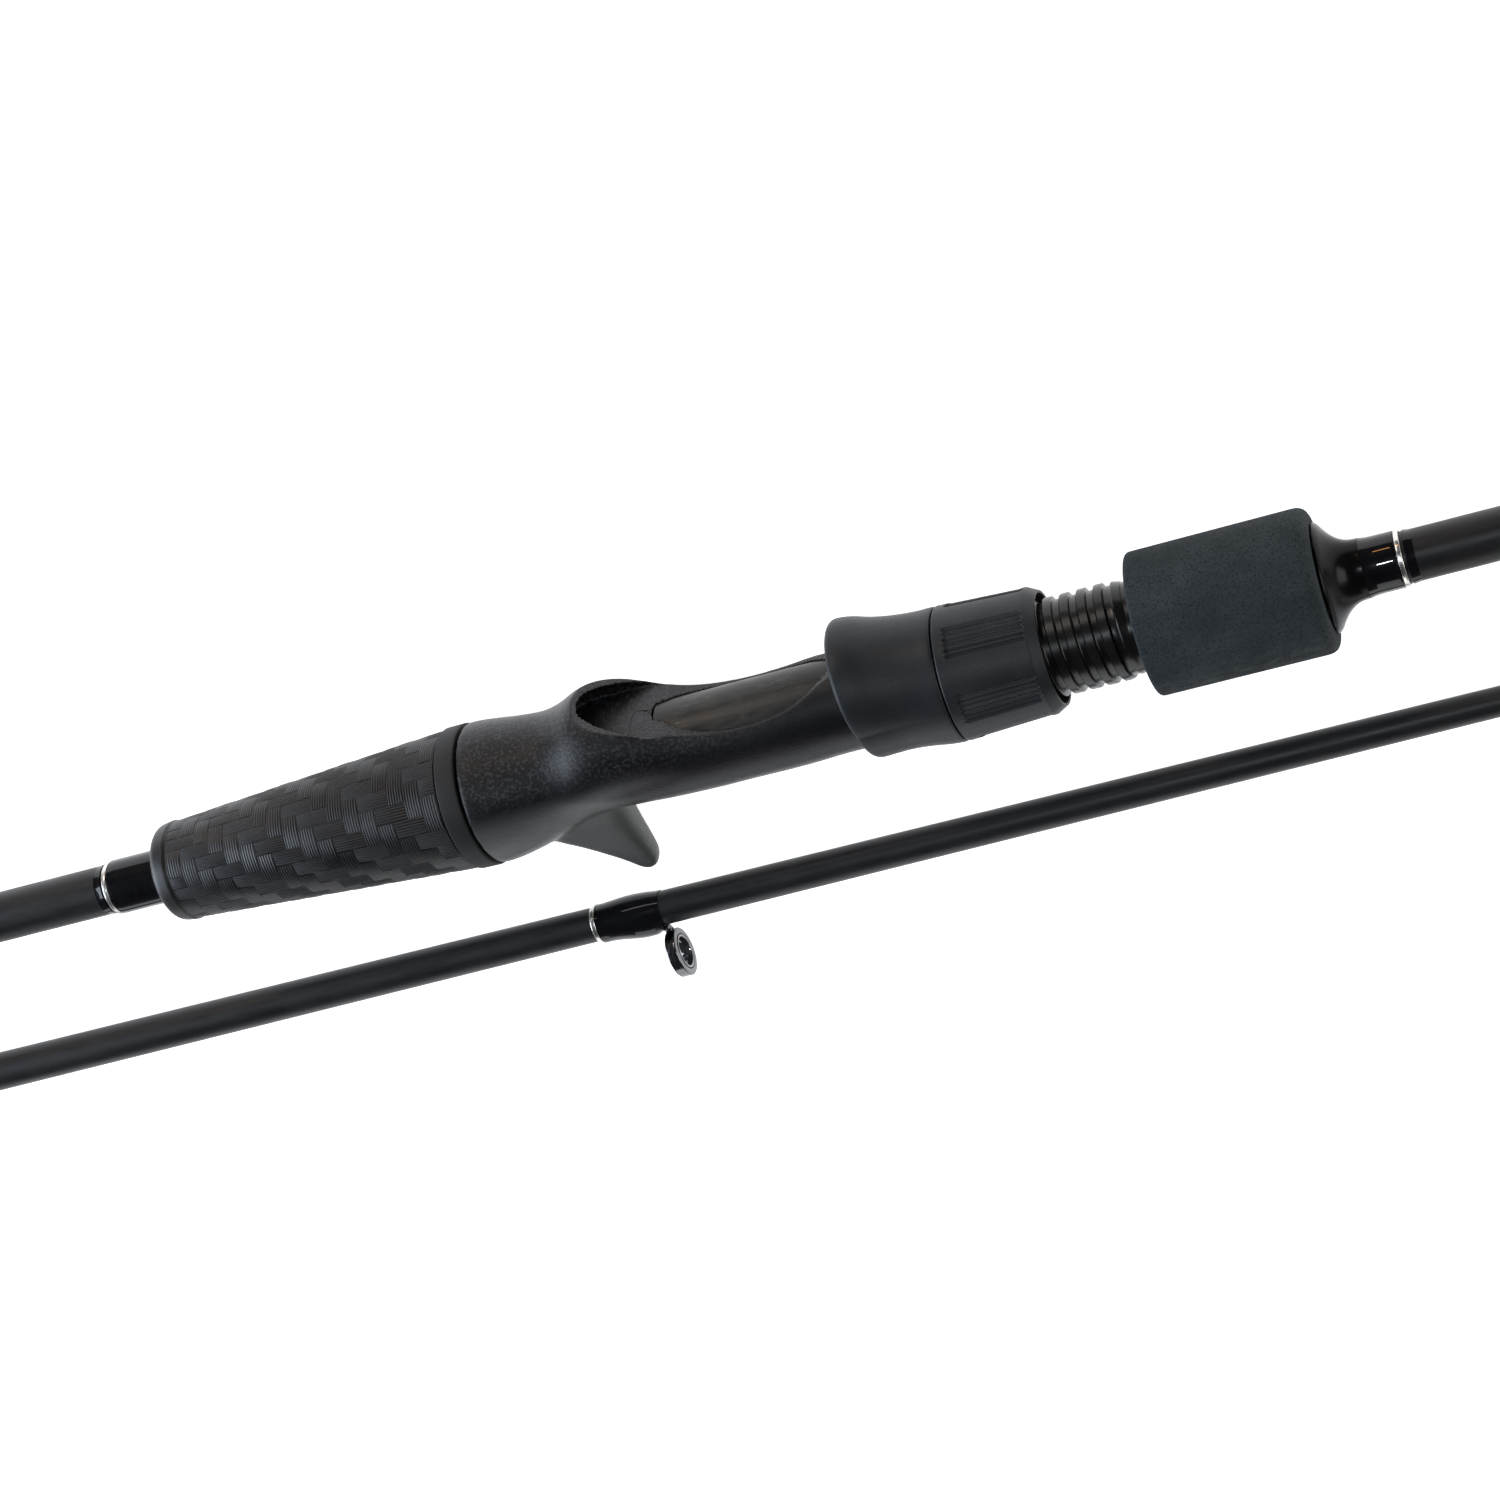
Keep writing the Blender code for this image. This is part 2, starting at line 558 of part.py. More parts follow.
def rear_grip(parent):
    """The tapered rear grip: a moulded rubber skin over a light core, closed by a collar."""
    end = GRIP_REAR
    inner = butt_radius(end) + GAP
    corner = 2.6
    outline = [(end, inner), *arc(end + corner, GRIP_REAR_RADIUS - corner, corner, 180, 90, 3)]
    outline += [(GRIP_FRONT, GRIP_FRONT_RADIUS), (GRIP_FRONT, GRIP_FRONT_RADIUS - GRIP_SKIN)]
    outline += [(end + GRIP_SKIN, GRIP_REAR_RADIUS - GRIP_SKIN), (end + GRIP_SKIN, inner)]
    tube("rear_grip", outline, "rubber", parent)
    start, under = end + GRIP_SKIN + GAP, GRIP_SKIN + GAP
    tube("rear_grip_core", [(start, inner), (start, GRIP_REAR_RADIUS - under),
                            (GRIP_FRONT, GRIP_FRONT_RADIUS - under), (GRIP_FRONT, inner)],
         "core", parent)
    start = GRIP_FRONT + GAP
    tube("grip_collar", [(start, inner), (start, COLLAR_RADIUS - 0.4), (start + 0.4, COLLAR_RADIUS),
                         (COLLAR_FRONT - 0.3, COLLAR_RADIUS), (COLLAR_FRONT, COLLAR_RADIUS - 0.3),
                         (COLLAR_FRONT, inner)], "rubber", parent)
    wrap("rear_grip_wrap", parent, butt_radius, end - GAP, -137.5, 0.5)


def butt_end(parent):
    """The short grip at the butt with its winding check and rubber cap."""
    inner = butt_radius(BUTT_END) + GAP
    front = BUTT_GRIP_FRONT
    outline = [(BUTT_GRIP_REAR, inner), (BUTT_GRIP_REAR, 13.2), (BUTT_GRIP_REAR + 12, 12.4)]
    outline += [(front - 14, 10.6), *arc(front - 2, 8.2, 2, 90, 0, 2), (front, inner)]
    tube("butt_grip", outline, "foam", parent)
    tube("butt_check", [(front + GAP, inner - 0.05), (front + GAP, 8.4), (front + 1.4, 8.4),
                        (front + 3.5, 6.7), (front + 6.5, 5.9), (front + 6.5, inner - 0.05)],
         "gloss", parent)
    wrap("butt_grip_wrap", parent, butt_radius, front + 6.9, front + 15, 0.5)
    rim = BUTT_GRIP_REAR - GAP
    cup = BUTT_END - GAP
    outline = [(BUTT_CAP_END, 11.2), *arc(BUTT_CAP_END + 2, BUTT_CAP_RADIUS - 2, 2, 180, 90, 2)]
    outline += [(rim, BUTT_CAP_RADIUS), (rim, inner), (cup, inner)]
    turned("butt_cap", outline, "rubber", parent)


def fore_end(parent):
    """The foregrip, its flared winding check and the wrap in front of it."""
    outline = [*arc(FORE_REAR + 1.0, FORE_RADIUS - 1.0, 1.0, 180, 90, 2),
               *arc(FORE_FRONT - 2.5, FORE_RADIUS - 2.5, 2.5, 90, 0, 2)]
    inner = butt_radius(FORE_REAR) + GAP
    recess, step = THREAD_RADIUS + GAP, SEAT_FRONT + GAP
    outline += [(FORE_FRONT, inner), (step, inner), (step, recess), (FORE_REAR, recess)]
    tube("foregrip", outline, "foam", parent)
    start = FORE_FRONT + GAP
    flare = [(start + 7 * t, 5.5 + 5.6 * (1 - t) ** 2.6) for t in (0.12, 0.3, 0.6, 1)]
    tube("winding_check", [(start, inner), (start, 10.4), *flare, (start + 7, inner)], "gloss", parent)
    wrap("front_wrap", parent, butt_radius, start + 7.3, 123.8, 0.55)


def butt_section(parent):
    stations = [BUTT_END, 142, 430, 600, BUTT_FRONT - 1, BUTT_FRONT]
    blank_tube("butt_blank", butt_radius, stations, BLANK_WALL, parent)
    butt_end(parent)
    rear_grip(parent)
    reel_seat(parent)
    fore_end(parent)
    surface = butt_radius(STRIPPER_X)
    for end in guide("stripper_guide", parent, STRIPPER_X, surface, 4.5, 6.4, 14.5, 12.5, True):
        side = "rear" if end < 0 else "front"
        guide_wrap(f"stripper_guide_{side}_wrap", parent, butt_radius, STRIPPER_X, end, 12.5, end < 0)
    guide("belly_guide", parent, BELLY_X, butt_radius(BELLY_X), 3.6, 5.4, 12, 12)
    guide_wrap("belly_guide_wrap", parent, butt_radius, BELLY_X, -1, 12, True)
    wrap("butt_ferrule_wrap", parent, butt_radius, BUTT_FRONT - 50, BUTT_FRONT - 61, 0.5)


TIP_GUIDES = (  # distance from the tip, ring bore, frame rim, ring height, foot length
    (771.6, 3.2, 5.0, 9.6, 10.3),
    (560, 2.6, 4.3, 8.4, 9.5),
    (381, 2.4, 4.1, 7.7, 8.8),
    (241, 2.3, 4.0, 7.1, 8.2),
    (114, 2.2, 3.9, 6.6, 7.6),
)


def tip_top(parent):
    """The last ring of the rod, on a tube that caps the tip."""
    x, rise = TIP_END, 5.4
    frame = tube("tip_top_frame", [(x - 9, 1.6), (x + 1.2, 1.6), (x + 1.2, 1.15), (x - 9, 1.15)],
                 "frame", None, SLIM)
    lean = Matrix.Translation(((x + 3) * MM, 0, rise * MM)) @ Matrix.Rotation(radians(25), 4, "Y")
    hoop = tube("hoop", [(-0.8, 3.6), (0.8, 3.6), (0.8, 3.0), (-0.8, 3.0)], "frame", None, WIRE)
    hoop.data.transform(lean)
    combine(frame, hoop, "UNION")
    strut = loft_bar("strut", [((x - 3.4, 0, 1.25), 2.2, 0.6), ((x - 0.4, 0, 2.2), 2.2, 0.6),
                               ((x + 1.2, 0, 2.9), 0.9, 0.6)], "frame", None)
    combine(frame, strut, "UNION")
    frame.parent = parent
    ring = tube("tip_top_ring", [(-0.7, 2.2), (0.7, 2.2), (0.7, 2.7), (-0.7, 2.7)], "ceramic", None, WIRE)
    ring.data.transform(lean)
    ring.parent = parent


def tip_section(parent):
    stations = [TIP_REAR, 142, 450, TIP_END - 1, TIP_END]
    blank_tube("tip_blank", tip_radius, stations, 0.65, parent, (FERRULE_BORE, FERRULE_DEPTH))
    front = TIP_REAR + SLEEVE_LENGTH
    inner = tip_radius(TIP_REAR) + BOND
    sleeve = [(TIP_REAR + 0.4, SLEEVE_RADIUS), (front - 6, SLEEVE_RADIUS - 0.2), (front, inner + 0.3)]
    tube("ferrule_sleeve", sleeve + [(front, inner), (TIP_REAR + 0.4, inner)], "carbon", parent)
    wrap("ferrule_wrap", parent, tip_radius, front + 0.6, front + 11, 0.5)
    for number, (back, bore, rim, height, foot) in enumerate(TIP_GUIDES, 1):
        x = TIP_END - back
        guide(f"guide_{number}", parent, x, tip_radius(x), bore, rim, height, foot)
        guide_wrap(f"guide_{number}_wrap", parent, tip_radius, x, -1, foot, number < 5)
    tip_top(parent)


def centre_on_floor(root):
    """Moves the axes so that the whole object's box is centred over the origin and stands on z = 0."""
    bpy.context.view_layer.update()
    low, high = [1e9] * 3, [-1e9] * 3
    for piece in bpy.context.scene.objects:
        if piece.type != "MESH":
            continue
        for vertex in piece.data.vertices:
            place = piece.matrix_world @ vertex.co
            low = [min(a, b) for a, b in zip(low, place)]
            high = [max(a, b) for a, b in zip(high, place)]
    root.location = (-(low[0] + high[0]) / 2, -(low[1] + high[1]) / 2, -low[2])
    bpy.context.view_layer.update()


clear_scene()
rod = empty("rod", (0, 0, 0))
butt_axis = empty("butt_axis", (0, 0, BUTT_AXIS_HEIGHT), -(pi / 2 - REST_ROLL), rod)
tip_axis = empty("tip_axis", (0, -SECTION_SPACING, TIP_AXIS_HEIGHT), pi / 2 - GUIDE_ROLL, rod)
tip_axis.rotation_euler.z = SECTION_SPLAY
hood_axis = empty("hood_axis", (0, 0, 0), parent=butt_axis)
nut_axis = empty("nut_axis", (0, 0, 0), parent=hood_axis)
butt_section(butt_axis)
sliding_hood(hood_axis)
lock_nut(nut_axis)
tip_section(tip_axis)
centre_on_floor(rod)
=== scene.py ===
"""The looks of a two-piece baitcasting rod, taken apart, with its two sections lying side by side.

Lengths are in millimetres and become metres when a mesh is made. Each section has its own frame:
x runs along the blank from butt to tip, z points to the side that carries the reel and the guides.
"""

import json
from math import cos, pi, radians, sin, tau

import bmesh
import bpy
import numpy as np
from mathutils import Matrix, Vector


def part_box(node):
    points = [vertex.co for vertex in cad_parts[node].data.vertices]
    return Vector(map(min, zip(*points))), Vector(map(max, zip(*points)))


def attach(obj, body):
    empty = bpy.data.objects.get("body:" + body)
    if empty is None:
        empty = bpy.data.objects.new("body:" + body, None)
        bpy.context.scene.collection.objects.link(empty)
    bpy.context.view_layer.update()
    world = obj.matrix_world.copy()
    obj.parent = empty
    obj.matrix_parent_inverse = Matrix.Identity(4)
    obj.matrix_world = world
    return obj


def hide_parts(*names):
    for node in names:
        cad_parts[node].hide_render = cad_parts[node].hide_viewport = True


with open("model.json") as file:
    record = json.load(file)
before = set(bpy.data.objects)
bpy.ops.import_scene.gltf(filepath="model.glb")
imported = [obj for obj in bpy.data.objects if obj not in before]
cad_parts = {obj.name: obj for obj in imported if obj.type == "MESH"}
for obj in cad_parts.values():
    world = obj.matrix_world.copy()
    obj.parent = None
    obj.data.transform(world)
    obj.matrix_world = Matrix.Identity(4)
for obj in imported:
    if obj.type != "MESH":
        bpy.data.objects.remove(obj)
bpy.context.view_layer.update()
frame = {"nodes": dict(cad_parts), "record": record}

MM = 0.001
GAP = 0.3  # clearance between pieces that touch
BOND = 0.12  # glue line under a thin wrap or ring
TRIM_WIDTH = 0.9
SIDES = 128  # facets round a large piece
SLIM = 72  # facets round a blank and what is wrapped on it
GUIDE_SIDES = 64

# Where each section lies
REST_ROLL = radians(22.5)  # how far the reel side is raised from the horizontal
GUIDE_ROLL = radians(4)
SECTION_SPACING = 33.2
SECTION_SPLAY = radians(0.42)
AXIS_DROP = 9.05  # how much lower the tip section's axis lies than the butt section's

# Blanks
BUTT_END, BUTT_FRONT = -278.0, 718.0
TIP_REAR, TIP_END = -279.5, 740.5
FERRULE_DEPTH, FERRULE_BORE = 48.0, 3.2
SLEEVE_LENGTH, SLEEVE_RADIUS = 75.0, 5.15

# Grips
GRIP_REAR, GRIP_FRONT, COLLAR_FRONT = -125.2, -59.9, -55.6
GRIP_REAR_RADIUS, GRIP_FRONT_RADIUS = 10.0, 14.0
GRIP_FLARE = GRIP_FRONT_RADIUS - GRIP_REAR_RADIUS
GRIP_SKIN = 2.0
COLLAR_RADIUS = 14.15
BUTT_GRIP_REAR, BUTT_GRIP_FRONT = -275.7, -216.0
BUTT_CAP_END, BUTT_CAP_RADIUS = -282.0, 14.0
FORE_REAR, FORE_FRONT, FORE_RADIUS = 77.0, 110.3, 13.45

# The woven relief pressed into the rear grip
TOWS_ROUND = 24
WEAVE_REAR, WEAVE_FRONT = -121.2, GRIP_FRONT - 0.1
TOWS_ALONG = 18
TOW = (WEAVE_FRONT - WEAVE_REAR) / TOWS_ALONG
TOW_LINES = 6
TOW_SINK = 0.42  # how far the ground between the raised tows lies under the grip's outline
LINE_DEPTH = 0.14
FLOAT_END_GAP, FLOAT_TURN_GAP = 0.03, 0.02  # left free round a float: in mm, and in tows round the grip
LINE_SHAPE = (0, 0.5, 1, 1, 0.5, 0)  # heights across one fine line

# Reel seat
SEAT_REAR, SEAT_FRONT, SEAT_BORE = -55.3, 84.0, 6.2
DECK_HEIGHT = 8.95
INSERT_RADIUS, INSERT_REAR, INSERT_FRONT = 8.6, -17.6, 19.3
POCKET_REAR, POCKET_FLOOR, POCKET_ROOF, POCKET_HALF_WIDTH = -37.5, 8.95, 14.6, 8.4
BARREL_RADIUS, BARREL_STEP = 9.6, 33.0
THREAD_PITCH, THREAD_RADIUS, THREAD_DEPTH = 3.2, 9.2, 0.75
THREAD_REAR, THREAD_TURNS = 34.0, 13

# Sliding hood and lock nut
HOOD_MOUTH, HOOD_SLANT, HOOD_FRONT = 22.3, 1.5, 40.3
HOOD_BORE = BARREL_RADIUS + GAP
HOOD_ROOF, HOOD_POCKET_FRONT = 13.9, 34.0
NECK_REAR, NECK_RADIUS = 37.4, 10.9
NUT_REAR, NUT_FRONT = 40.6, 59.8
NUT_REAR_RADIUS, NUT_FRONT_RADIUS, NUT_CHAMFER = 12.85, 12.0, 2.0
NUT_BORE = THREAD_RADIUS + GAP
NUT_PANELS, NUT_RIBS = 6, 6
PANEL_REAR, PANEL_FRONT, PANEL_ANGLE = 43.0, 57.2, radians(30)
PANEL_TURN = radians(-2)  # where the first panel lies round the nut
RIB_DEPTH = 0.38

# Guides
LEG_ANGLE = radians(38)  # how far below the ring's middle its legs join it
STRIPPER_X, BELLY_X = 440.0, 612.0
LEG_ROOT, WRAP_NEAR, WRAP_BEYOND = 0.6, 0.5, 3.6
TIP_BORE_SHARE = 0.88  # how much of the bore below the ring leaves free
TIP_GUIDES = (  # distance from the tip, ring bore, frame rim, ring height, foot length
    (771.6, 3.2, 5.0, 9.6, 10.3),
    (560, 2.6, 4.3, 8.4, 9.5),
    (381, 2.4, 4.1, 7.7, 8.8),
    (241, 2.3, 4.0, 7.1, 8.2),
    (114, 2.2, 3.9, 6.6, 7.6),
)

# Camera: it looks down at the reel seat, rolled so that the rod climbs to the right
VIEW_AZIMUTH, VIEW_ELEVATION, VIEW_ROLL = radians(36.43), radians(68.18), radians(142.70)
VIEW_DISTANCE = 576.5
VIEW_TARGET = (-1.54, -4.66)  # along the rod and across it, from the seat's middle
LENS, SENSOR = 73.2, 36.0

# Stage
TABLE_GLOW = 0.85
TABLE_REACH = 60000  # so far that its edge shows in no view
LAMP_DISTANCE = 1000
TABLE_DROP = 0.2  # below the rod, so that the two never share a plane

# Where painted sheen lies on the seat's trigger, and where the seat and the foregrip are worn: a mark grows
# from the first place in the world to the second
TRIGGER_SHEEN_ACROSS, TRIGGER_SHEEN_ALONG = (13.0, 9.0), (-255.5, -261.0)
SPECKLE_ACROSS, SPECKLE_ALONG = (11.0, 16.0), (-222.0, -240.0)
FOAM_DUST_ACROSS = (7.5, 2.5)

WAVE_SCALE = tau / 20  # makes one band of the wave texture one unit wide


def section_frames():
    """World matrices of the two sections, worked out from where the butt blank lies."""
    low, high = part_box("butt_blank")
    origin = Vector((low.x - BUTT_END * MM, (low.y + high.y) / 2, (low.z + high.z) / 2))
    butt = Matrix.Translation(origin) @ Matrix.Rotation(-(pi / 2 - REST_ROLL), 4, "X")
    tip = Matrix.Translation(origin - Vector((0, SECTION_SPACING, AXIS_DROP)) * MM)
    tip = tip @ Matrix.Rotation(SECTION_SPLAY, 4, "Z") @ Matrix.Rotation(pi / 2 - GUIDE_ROLL, 4, "X")
    return butt, tip


BUTT, TIP = section_frames()


# Materials


class Look:
    """A Principled material whose textures are measured in millimetres, along the rod and across it."""

    def __init__(self, name, colour, roughness, metallic=0.0, specular=0.5, coat=0.0, coat_roughness=0.03):
        self.made = bpy.data.materials.new(name)
        self.made.use_nodes = True
        self.nodes = self.made.node_tree.nodes
        self.links = self.made.node_tree.links
        self.shader = self.nodes["Principled BSDF"]
        values = {"Base Color": (*colour, 1.0), "Roughness": roughness, "Metallic": metallic,
                  "Specular IOR Level": specular, "Coat Weight": coat, "Coat Roughness": coat_roughness}
        for socket, value in values.items():
            self.set(socket, value)
        self.place = self.nodes.new("ShaderNodeTexCoord").outputs["Object"]

    def set(self, socket, value):
        self.shader.inputs[socket].default_value = value

    def link(self, value, socket):
        self.links.new(value, self.shader.inputs[socket])

    def node(self, kind, sockets, **settings):
        """A new node with its settings, and each socket set to a value or linked to an output."""
        made = self.nodes.new(kind)
        for name, value in settings.items():
            setattr(made, name, value)
        for name, value in sockets.items():
            if isinstance(value, bpy.types.NodeSocket):
                self.links.new(value, made.inputs[name])
            else:
                made.inputs[name].default_value = value
        return made

    def stretched(self, along, across):
        """Coordinates in millimetres, divided by a grain's length along the rod and its width across."""
        scale = (1 / (along * MM), 1 / (across * MM), 1 / (across * MM))
        return self.node("ShaderNodeMapping", {"Scale": scale, "Vector": self.place}).outputs["Vector"]

    def noise(self, along, across, detail=2.0, rough=0.5):
        place = self.stretched(along, across)
        sockets = {"Scale": 1.0, "Detail": detail, "Roughness": rough, "Vector": place}
        return self.node("ShaderNodeTexNoise", sockets).outputs["Fac"]

    def cells(self, along, across):
        sockets = {"Scale": 1.0, "Vector": self.stretched(along, across)}
        return self.node("ShaderNodeTexVoronoi", sockets).outputs["Distance"]

    def rings(self, pitch):
        sockets = {"Scale": WAVE_SCALE, "Distortion": 0.6, "Detail Scale": 0.4,
                   "Vector": self.stretched(pitch, pitch)}
        made = self.node("ShaderNodeTexWave", sockets, wave_type="BANDS", bands_direction="X")
        return made.outputs["Fac"]

    def side(self, axis, start, end):
        """Rises from 0 to 1 between two places on a world axis, in millimetres."""
        value = self.node("ShaderNodeSeparateXYZ", {0: self.place}).outputs[axis]
        sockets = {"Value": value, "From Min": start * MM, "From Max": end * MM}
        return self.node("ShaderNodeMapRange", sockets).outputs["Result"]

    def ramp(self, value, stops):
        """Maps a value to a colour or a grey through (position, colour or grey) stops."""
        made = self.node("ShaderNodeValToRGB", {"Fac": value})
        elements = made.color_ramp.elements
        for k, (place, tone) in enumerate(stops):
            element = elements[k] if k < 2 else elements.new(place)
            element.position = place
            element.color = (*tone, 1.0) if isinstance(tone, tuple) else (tone, tone, tone, 1.0)
        return made.outputs["Color"]

    def tint(self, value, *stops):
        self.link(self.ramp(value, stops), "Base Color")

    def polish(self, value, *stops):
        self.link(self.ramp(value, stops), "Roughness")

    def product(self, a, b):
        return self.node("ShaderNodeMath", {0: a, 1: b}, operation="MULTIPLY").outputs[0]

    def mix(self, factor, a, b):
        """Goes from a to b with the factor; each is a colour or an output."""
        a, b = ((*tone, 1.0) if isinstance(tone, tuple) else tone for tone in (a, b))
        return self.node("ShaderNodeMix", {"Factor": factor, 6: a, 7: b}, data_type="RGBA").outputs[2]

    def bump(self, height, depth, under=None):
        """Relief of a depth in millimetres, over an earlier relief."""
        sockets = {"Strength": 1.0, "Distance": depth * MM, "Height": height}
        if under:
            sockets["Normal"] = under
        made = self.node("ShaderNodeBump", sockets).outputs["Normal"]
        self.link(made, "Normal")
        return made


def carbon_look():
    """Satin blank: wrapped carbon tape under thin lacquer, slightly mottled."""
    look = Look("carbon_blank", (0.012, 0.012, 0.013), 0.42, specular=0.26)
    patches = look.noise(9.0, 1.6, 3.0, 0.6)
    fibres = look.noise(0.35, 5.0, 2.0, 0.6)
    base = look.ramp(patches, [(0.35, (0.007, 0.007, 0.0075)), (0.7, (0.014, 0.0135, 0.013))])
    look.link(look.mix(fibres, base, (0.009, 0.009, 0.0095)), "Base Color")
    look.polish(patches, (0.3, 0.36), (0.75, 0.5))
    relief = look.bump(look.noise(0.3, 3.0, 2.0), 0.006)
    look.bump(look.noise(7.0, 7.0, 1.0), 0.02, relief)
    return look.made


def window_look():
    """Bare carbon in the seat's window: brownish flat tows with scuffs."""
    look = Look("carbon_window", (0.028, 0.026, 0.022), 0.42, specular=0.2)
    tows = look.noise(4.5, 1.1, 2.0, 0.5)
    scuffs = look.noise(2.2, 0.5, 4.0, 0.7)
    marked = look.ramp(look.noise(7.0, 4.0, 1.0), [(0.5, 0.0), (0.66, 1.0)])
    mark = look.product(look.ramp(scuffs, [(0.5, 0.0), (0.68, 1.0)]), marked)
    base = look.ramp(tows, [(0.35, (0.018, 0.0172, 0.0158)), (0.7, (0.03, 0.0286, 0.026))])
    look.link(look.mix(mark, base, (0.075, 0.07, 0.062)), "Base Color")
    look.polish(tows, (0.3, 0.32), (0.7, 0.46))
    look.bump(scuffs, 0.012)
    return look.made


def gloss_look():
    """Clear varnish over black thread: faint rings of thread and a slow, uneven flow."""
    look = Look("varnished_thread", (0.003, 0.003, 0.004), 0.3, specular=0.05, coat=0.5, coat_roughness=0.02)
    look.tint(look.noise(2.0, 2.0, 1.0), (0.3, (0.002, 0.002, 0.003)), (0.8, (0.0045, 0.0045, 0.0055)))
    relief = look.bump(look.rings(0.22), 0.004)
    look.bump(look.noise(4.0, 3.0, 1.0), 0.03, relief)
    return look.made


def check_look():
    """Moulded winding check: smooth black with a low, even shine."""
    look = Look("winding_check", (0.003, 0.003, 0.0035), 0.22, specular=0.1)
    look.polish(look.noise(5.0, 5.0, 1.0), (0.3, 0.2), (0.7, 0.28))
    return look.made


def seat_look():
    """Moulded seat: black with a fine grain, a painted light grey sheen over the trigger, speckled beside
    the deck.
    """
    look = Look("moulded_seat", (0.004, 0.004, 0.005), 0.36, specular=0.24)
    grain = look.noise(0.42, 0.42, 3.0, 0.65)
    area = look.noise(16.0, 12.0, 1.0)
    black = look.ramp(area, [(0.35, (0.0032, 0.0032, 0.0042)), (0.7, (0.0052, 0.0052, 0.0066))])
    # Painted sheen: the trigger is mixed from black to light grey in place of light shining on it; the
    # seat's colour below carries this painted sheen.
    painted_sheen = look.product(look.side(1, *TRIGGER_SHEEN_ACROSS), look.side(0, *TRIGGER_SHEEN_ALONG))
    marked = look.mix(painted_sheen, black, (0.055, 0.058, 0.056))
    eroded = look.ramp(look.noise(0.6, 0.6, 2.0, 0.6), [(0.5, 0.0), (0.62, 1.0)])
    near_deck = look.product(look.side(1, *SPECKLE_ACROSS), look.side(0, *SPECKLE_ALONG))
    speckle = look.product(eroded, near_deck)
    look.link(look.mix(speckle, marked, (0.026, 0.027, 0.028)), "Base Color")
    uneven = look.ramp(grain, [(0.4, 0.34), (0.68, 0.5)])
    look.link(look.mix(area, uneven, (0.36, 0.36, 0.36)), "Roughness")
    look.bump(look.product(grain, look.ramp(area, [(0.35, 1.0), (0.65, 0.35)])), 0.12)
    return look.made


def hood_look():
    """Satin blue-black moulding of the hood and the nut, with a few light specks."""
    look = Look("satin_moulding", (0.009, 0.011, 0.0125), 0.5, specular=0.24)
    grain = look.noise(0.3, 0.3, 3.0, 0.6)
    area = look.noise(9.0, 7.0, 2.0)
    specks = look.ramp(look.cells(2.6, 2.6), [(0.0, 1.0), (0.035, 0.0)])
    base = look.ramp(area, [(0.35, (0.009, 0.0112, 0.013)), (0.7, (0.0155, 0.018, 0.02))])
    look.link(look.mix(specks, base, (0.05, 0.056, 0.06)), "Base Color")
    look.polish(grain, (0.35, 0.4), (0.7, 0.54))
    look.bump(grain, 0.022)
    return look.made


def rubber_look(name, colour, roughness, specular, tones, shine, relief):
    """Moulded rubber, a little greyer in patches where hands have rubbed it."""
    look = Look(name, colour, roughness, specular=specular)
    area = look.noise(14.0, 9.0, 2.0)
    look.tint(area, (0.35, tones[0]), (0.72, tones[1]))
    look.polish(area, (0.3, shine[0]), (0.75, shine[1]))
    look.bump(look.noise(0.28, 0.28, 2.0, 0.6), relief)
    return look.made


def foam_look():
    """Sanded closed-cell foam: blue-grey black with fine pores, and dusty scuffs low on one side."""
    look = Look("grip_foam", (0.03, 0.036, 0.0395), 0.9, specular=0.08)
    pores = look.noise(0.42, 0.42, 3.0, 0.7)
    cloud = look.noise(10.0, 8.0, 3.0, 0.6)
    low = look.side(1, *FOAM_DUST_ACROSS)
    dust = look.product(look.ramp(look.noise(3.0, 1.2, 4.0, 0.7), [(0.46, 0.0), (0.66, 0.75)]), low)
    base = look.ramp(cloud, [(0.3, (0.024, 0.029, 0.032)), (0.75, (0.042, 0.049, 0.0525))])
    pored = look.mix(look.ramp(pores, [(0.38, 1.0), (0.5, 0.0)]), base, (0.017, 0.021, 0.0235))
    look.link(look.mix(dust, pored, (0.07, 0.073, 0.07)), "Base Color")
    look.bump(pores, 0.09)
    return look.made


def silver_look():
    """Bright trim band with fine turning lines."""
    look = Look("trim_band", (0.62, 0.61, 0.58), 0.26, metallic=1.0)
    look.polish(look.noise(0.15, 8.0, 1.0), (0.3, 0.18), (0.7, 0.34))
    look.bump(look.noise(0.12, 10.0, 1.0), 0.006)
    return look.made


def frame_look():
    """Dark polished guide frame with faint stains."""
    look = Look("dark_chrome", (0.13, 0.13, 0.135), 0.16, metallic=1.0)
    look.polish(look.noise(1.4, 1.4, 3.0), (0.35, 0.1), (0.75, 0.28))
    look.bump(look.noise(0.8, 0.8, 1.0), 0.01)
    return look.made


def ceramic_look():
    look = Look("guide_ring", (0.02, 0.02, 0.021), 0.06, specular=0.9, coat=0.6)
    look.polish(look.noise(1.0, 1.0, 2.0), (0.3, 0.05), (0.8, 0.12))
    return look.made


def core_look():
    look = Look("filled_foam", (0.3, 0.25, 0.2), 0.8)
    look.tint(look.noise(0.6, 0.6, 2.0), (0.3, (0.25, 0.21, 0.17)), (0.7, (0.33, 0.28, 0.22)))
    return look.made


def thread_look():
    """The seat's moulded thread: smoother and glossier than the seat, with brownish patches painted in as
    warm reflections.
    """
    look = Look("moulded_thread", (0.006, 0.0055, 0.005), 0.3, specular=0.3)
    # Painted reflection: these patches tint the thread brownish in place of warm reflections, and they also
    # vary its roughness.
    painted_sheen = look.noise(5.0, 3.0, 2.0)
    look.tint(painted_sheen, (0.35, (0.0045, 0.0044, 0.0044)), (0.7, (0.0075, 0.0066, 0.0058)))
    look.polish(painted_sheen, (0.3, 0.24), (0.75, 0.3))
    look.bump(look.noise(6.0, 6.0, 1.0), 0.01)
    return look.made


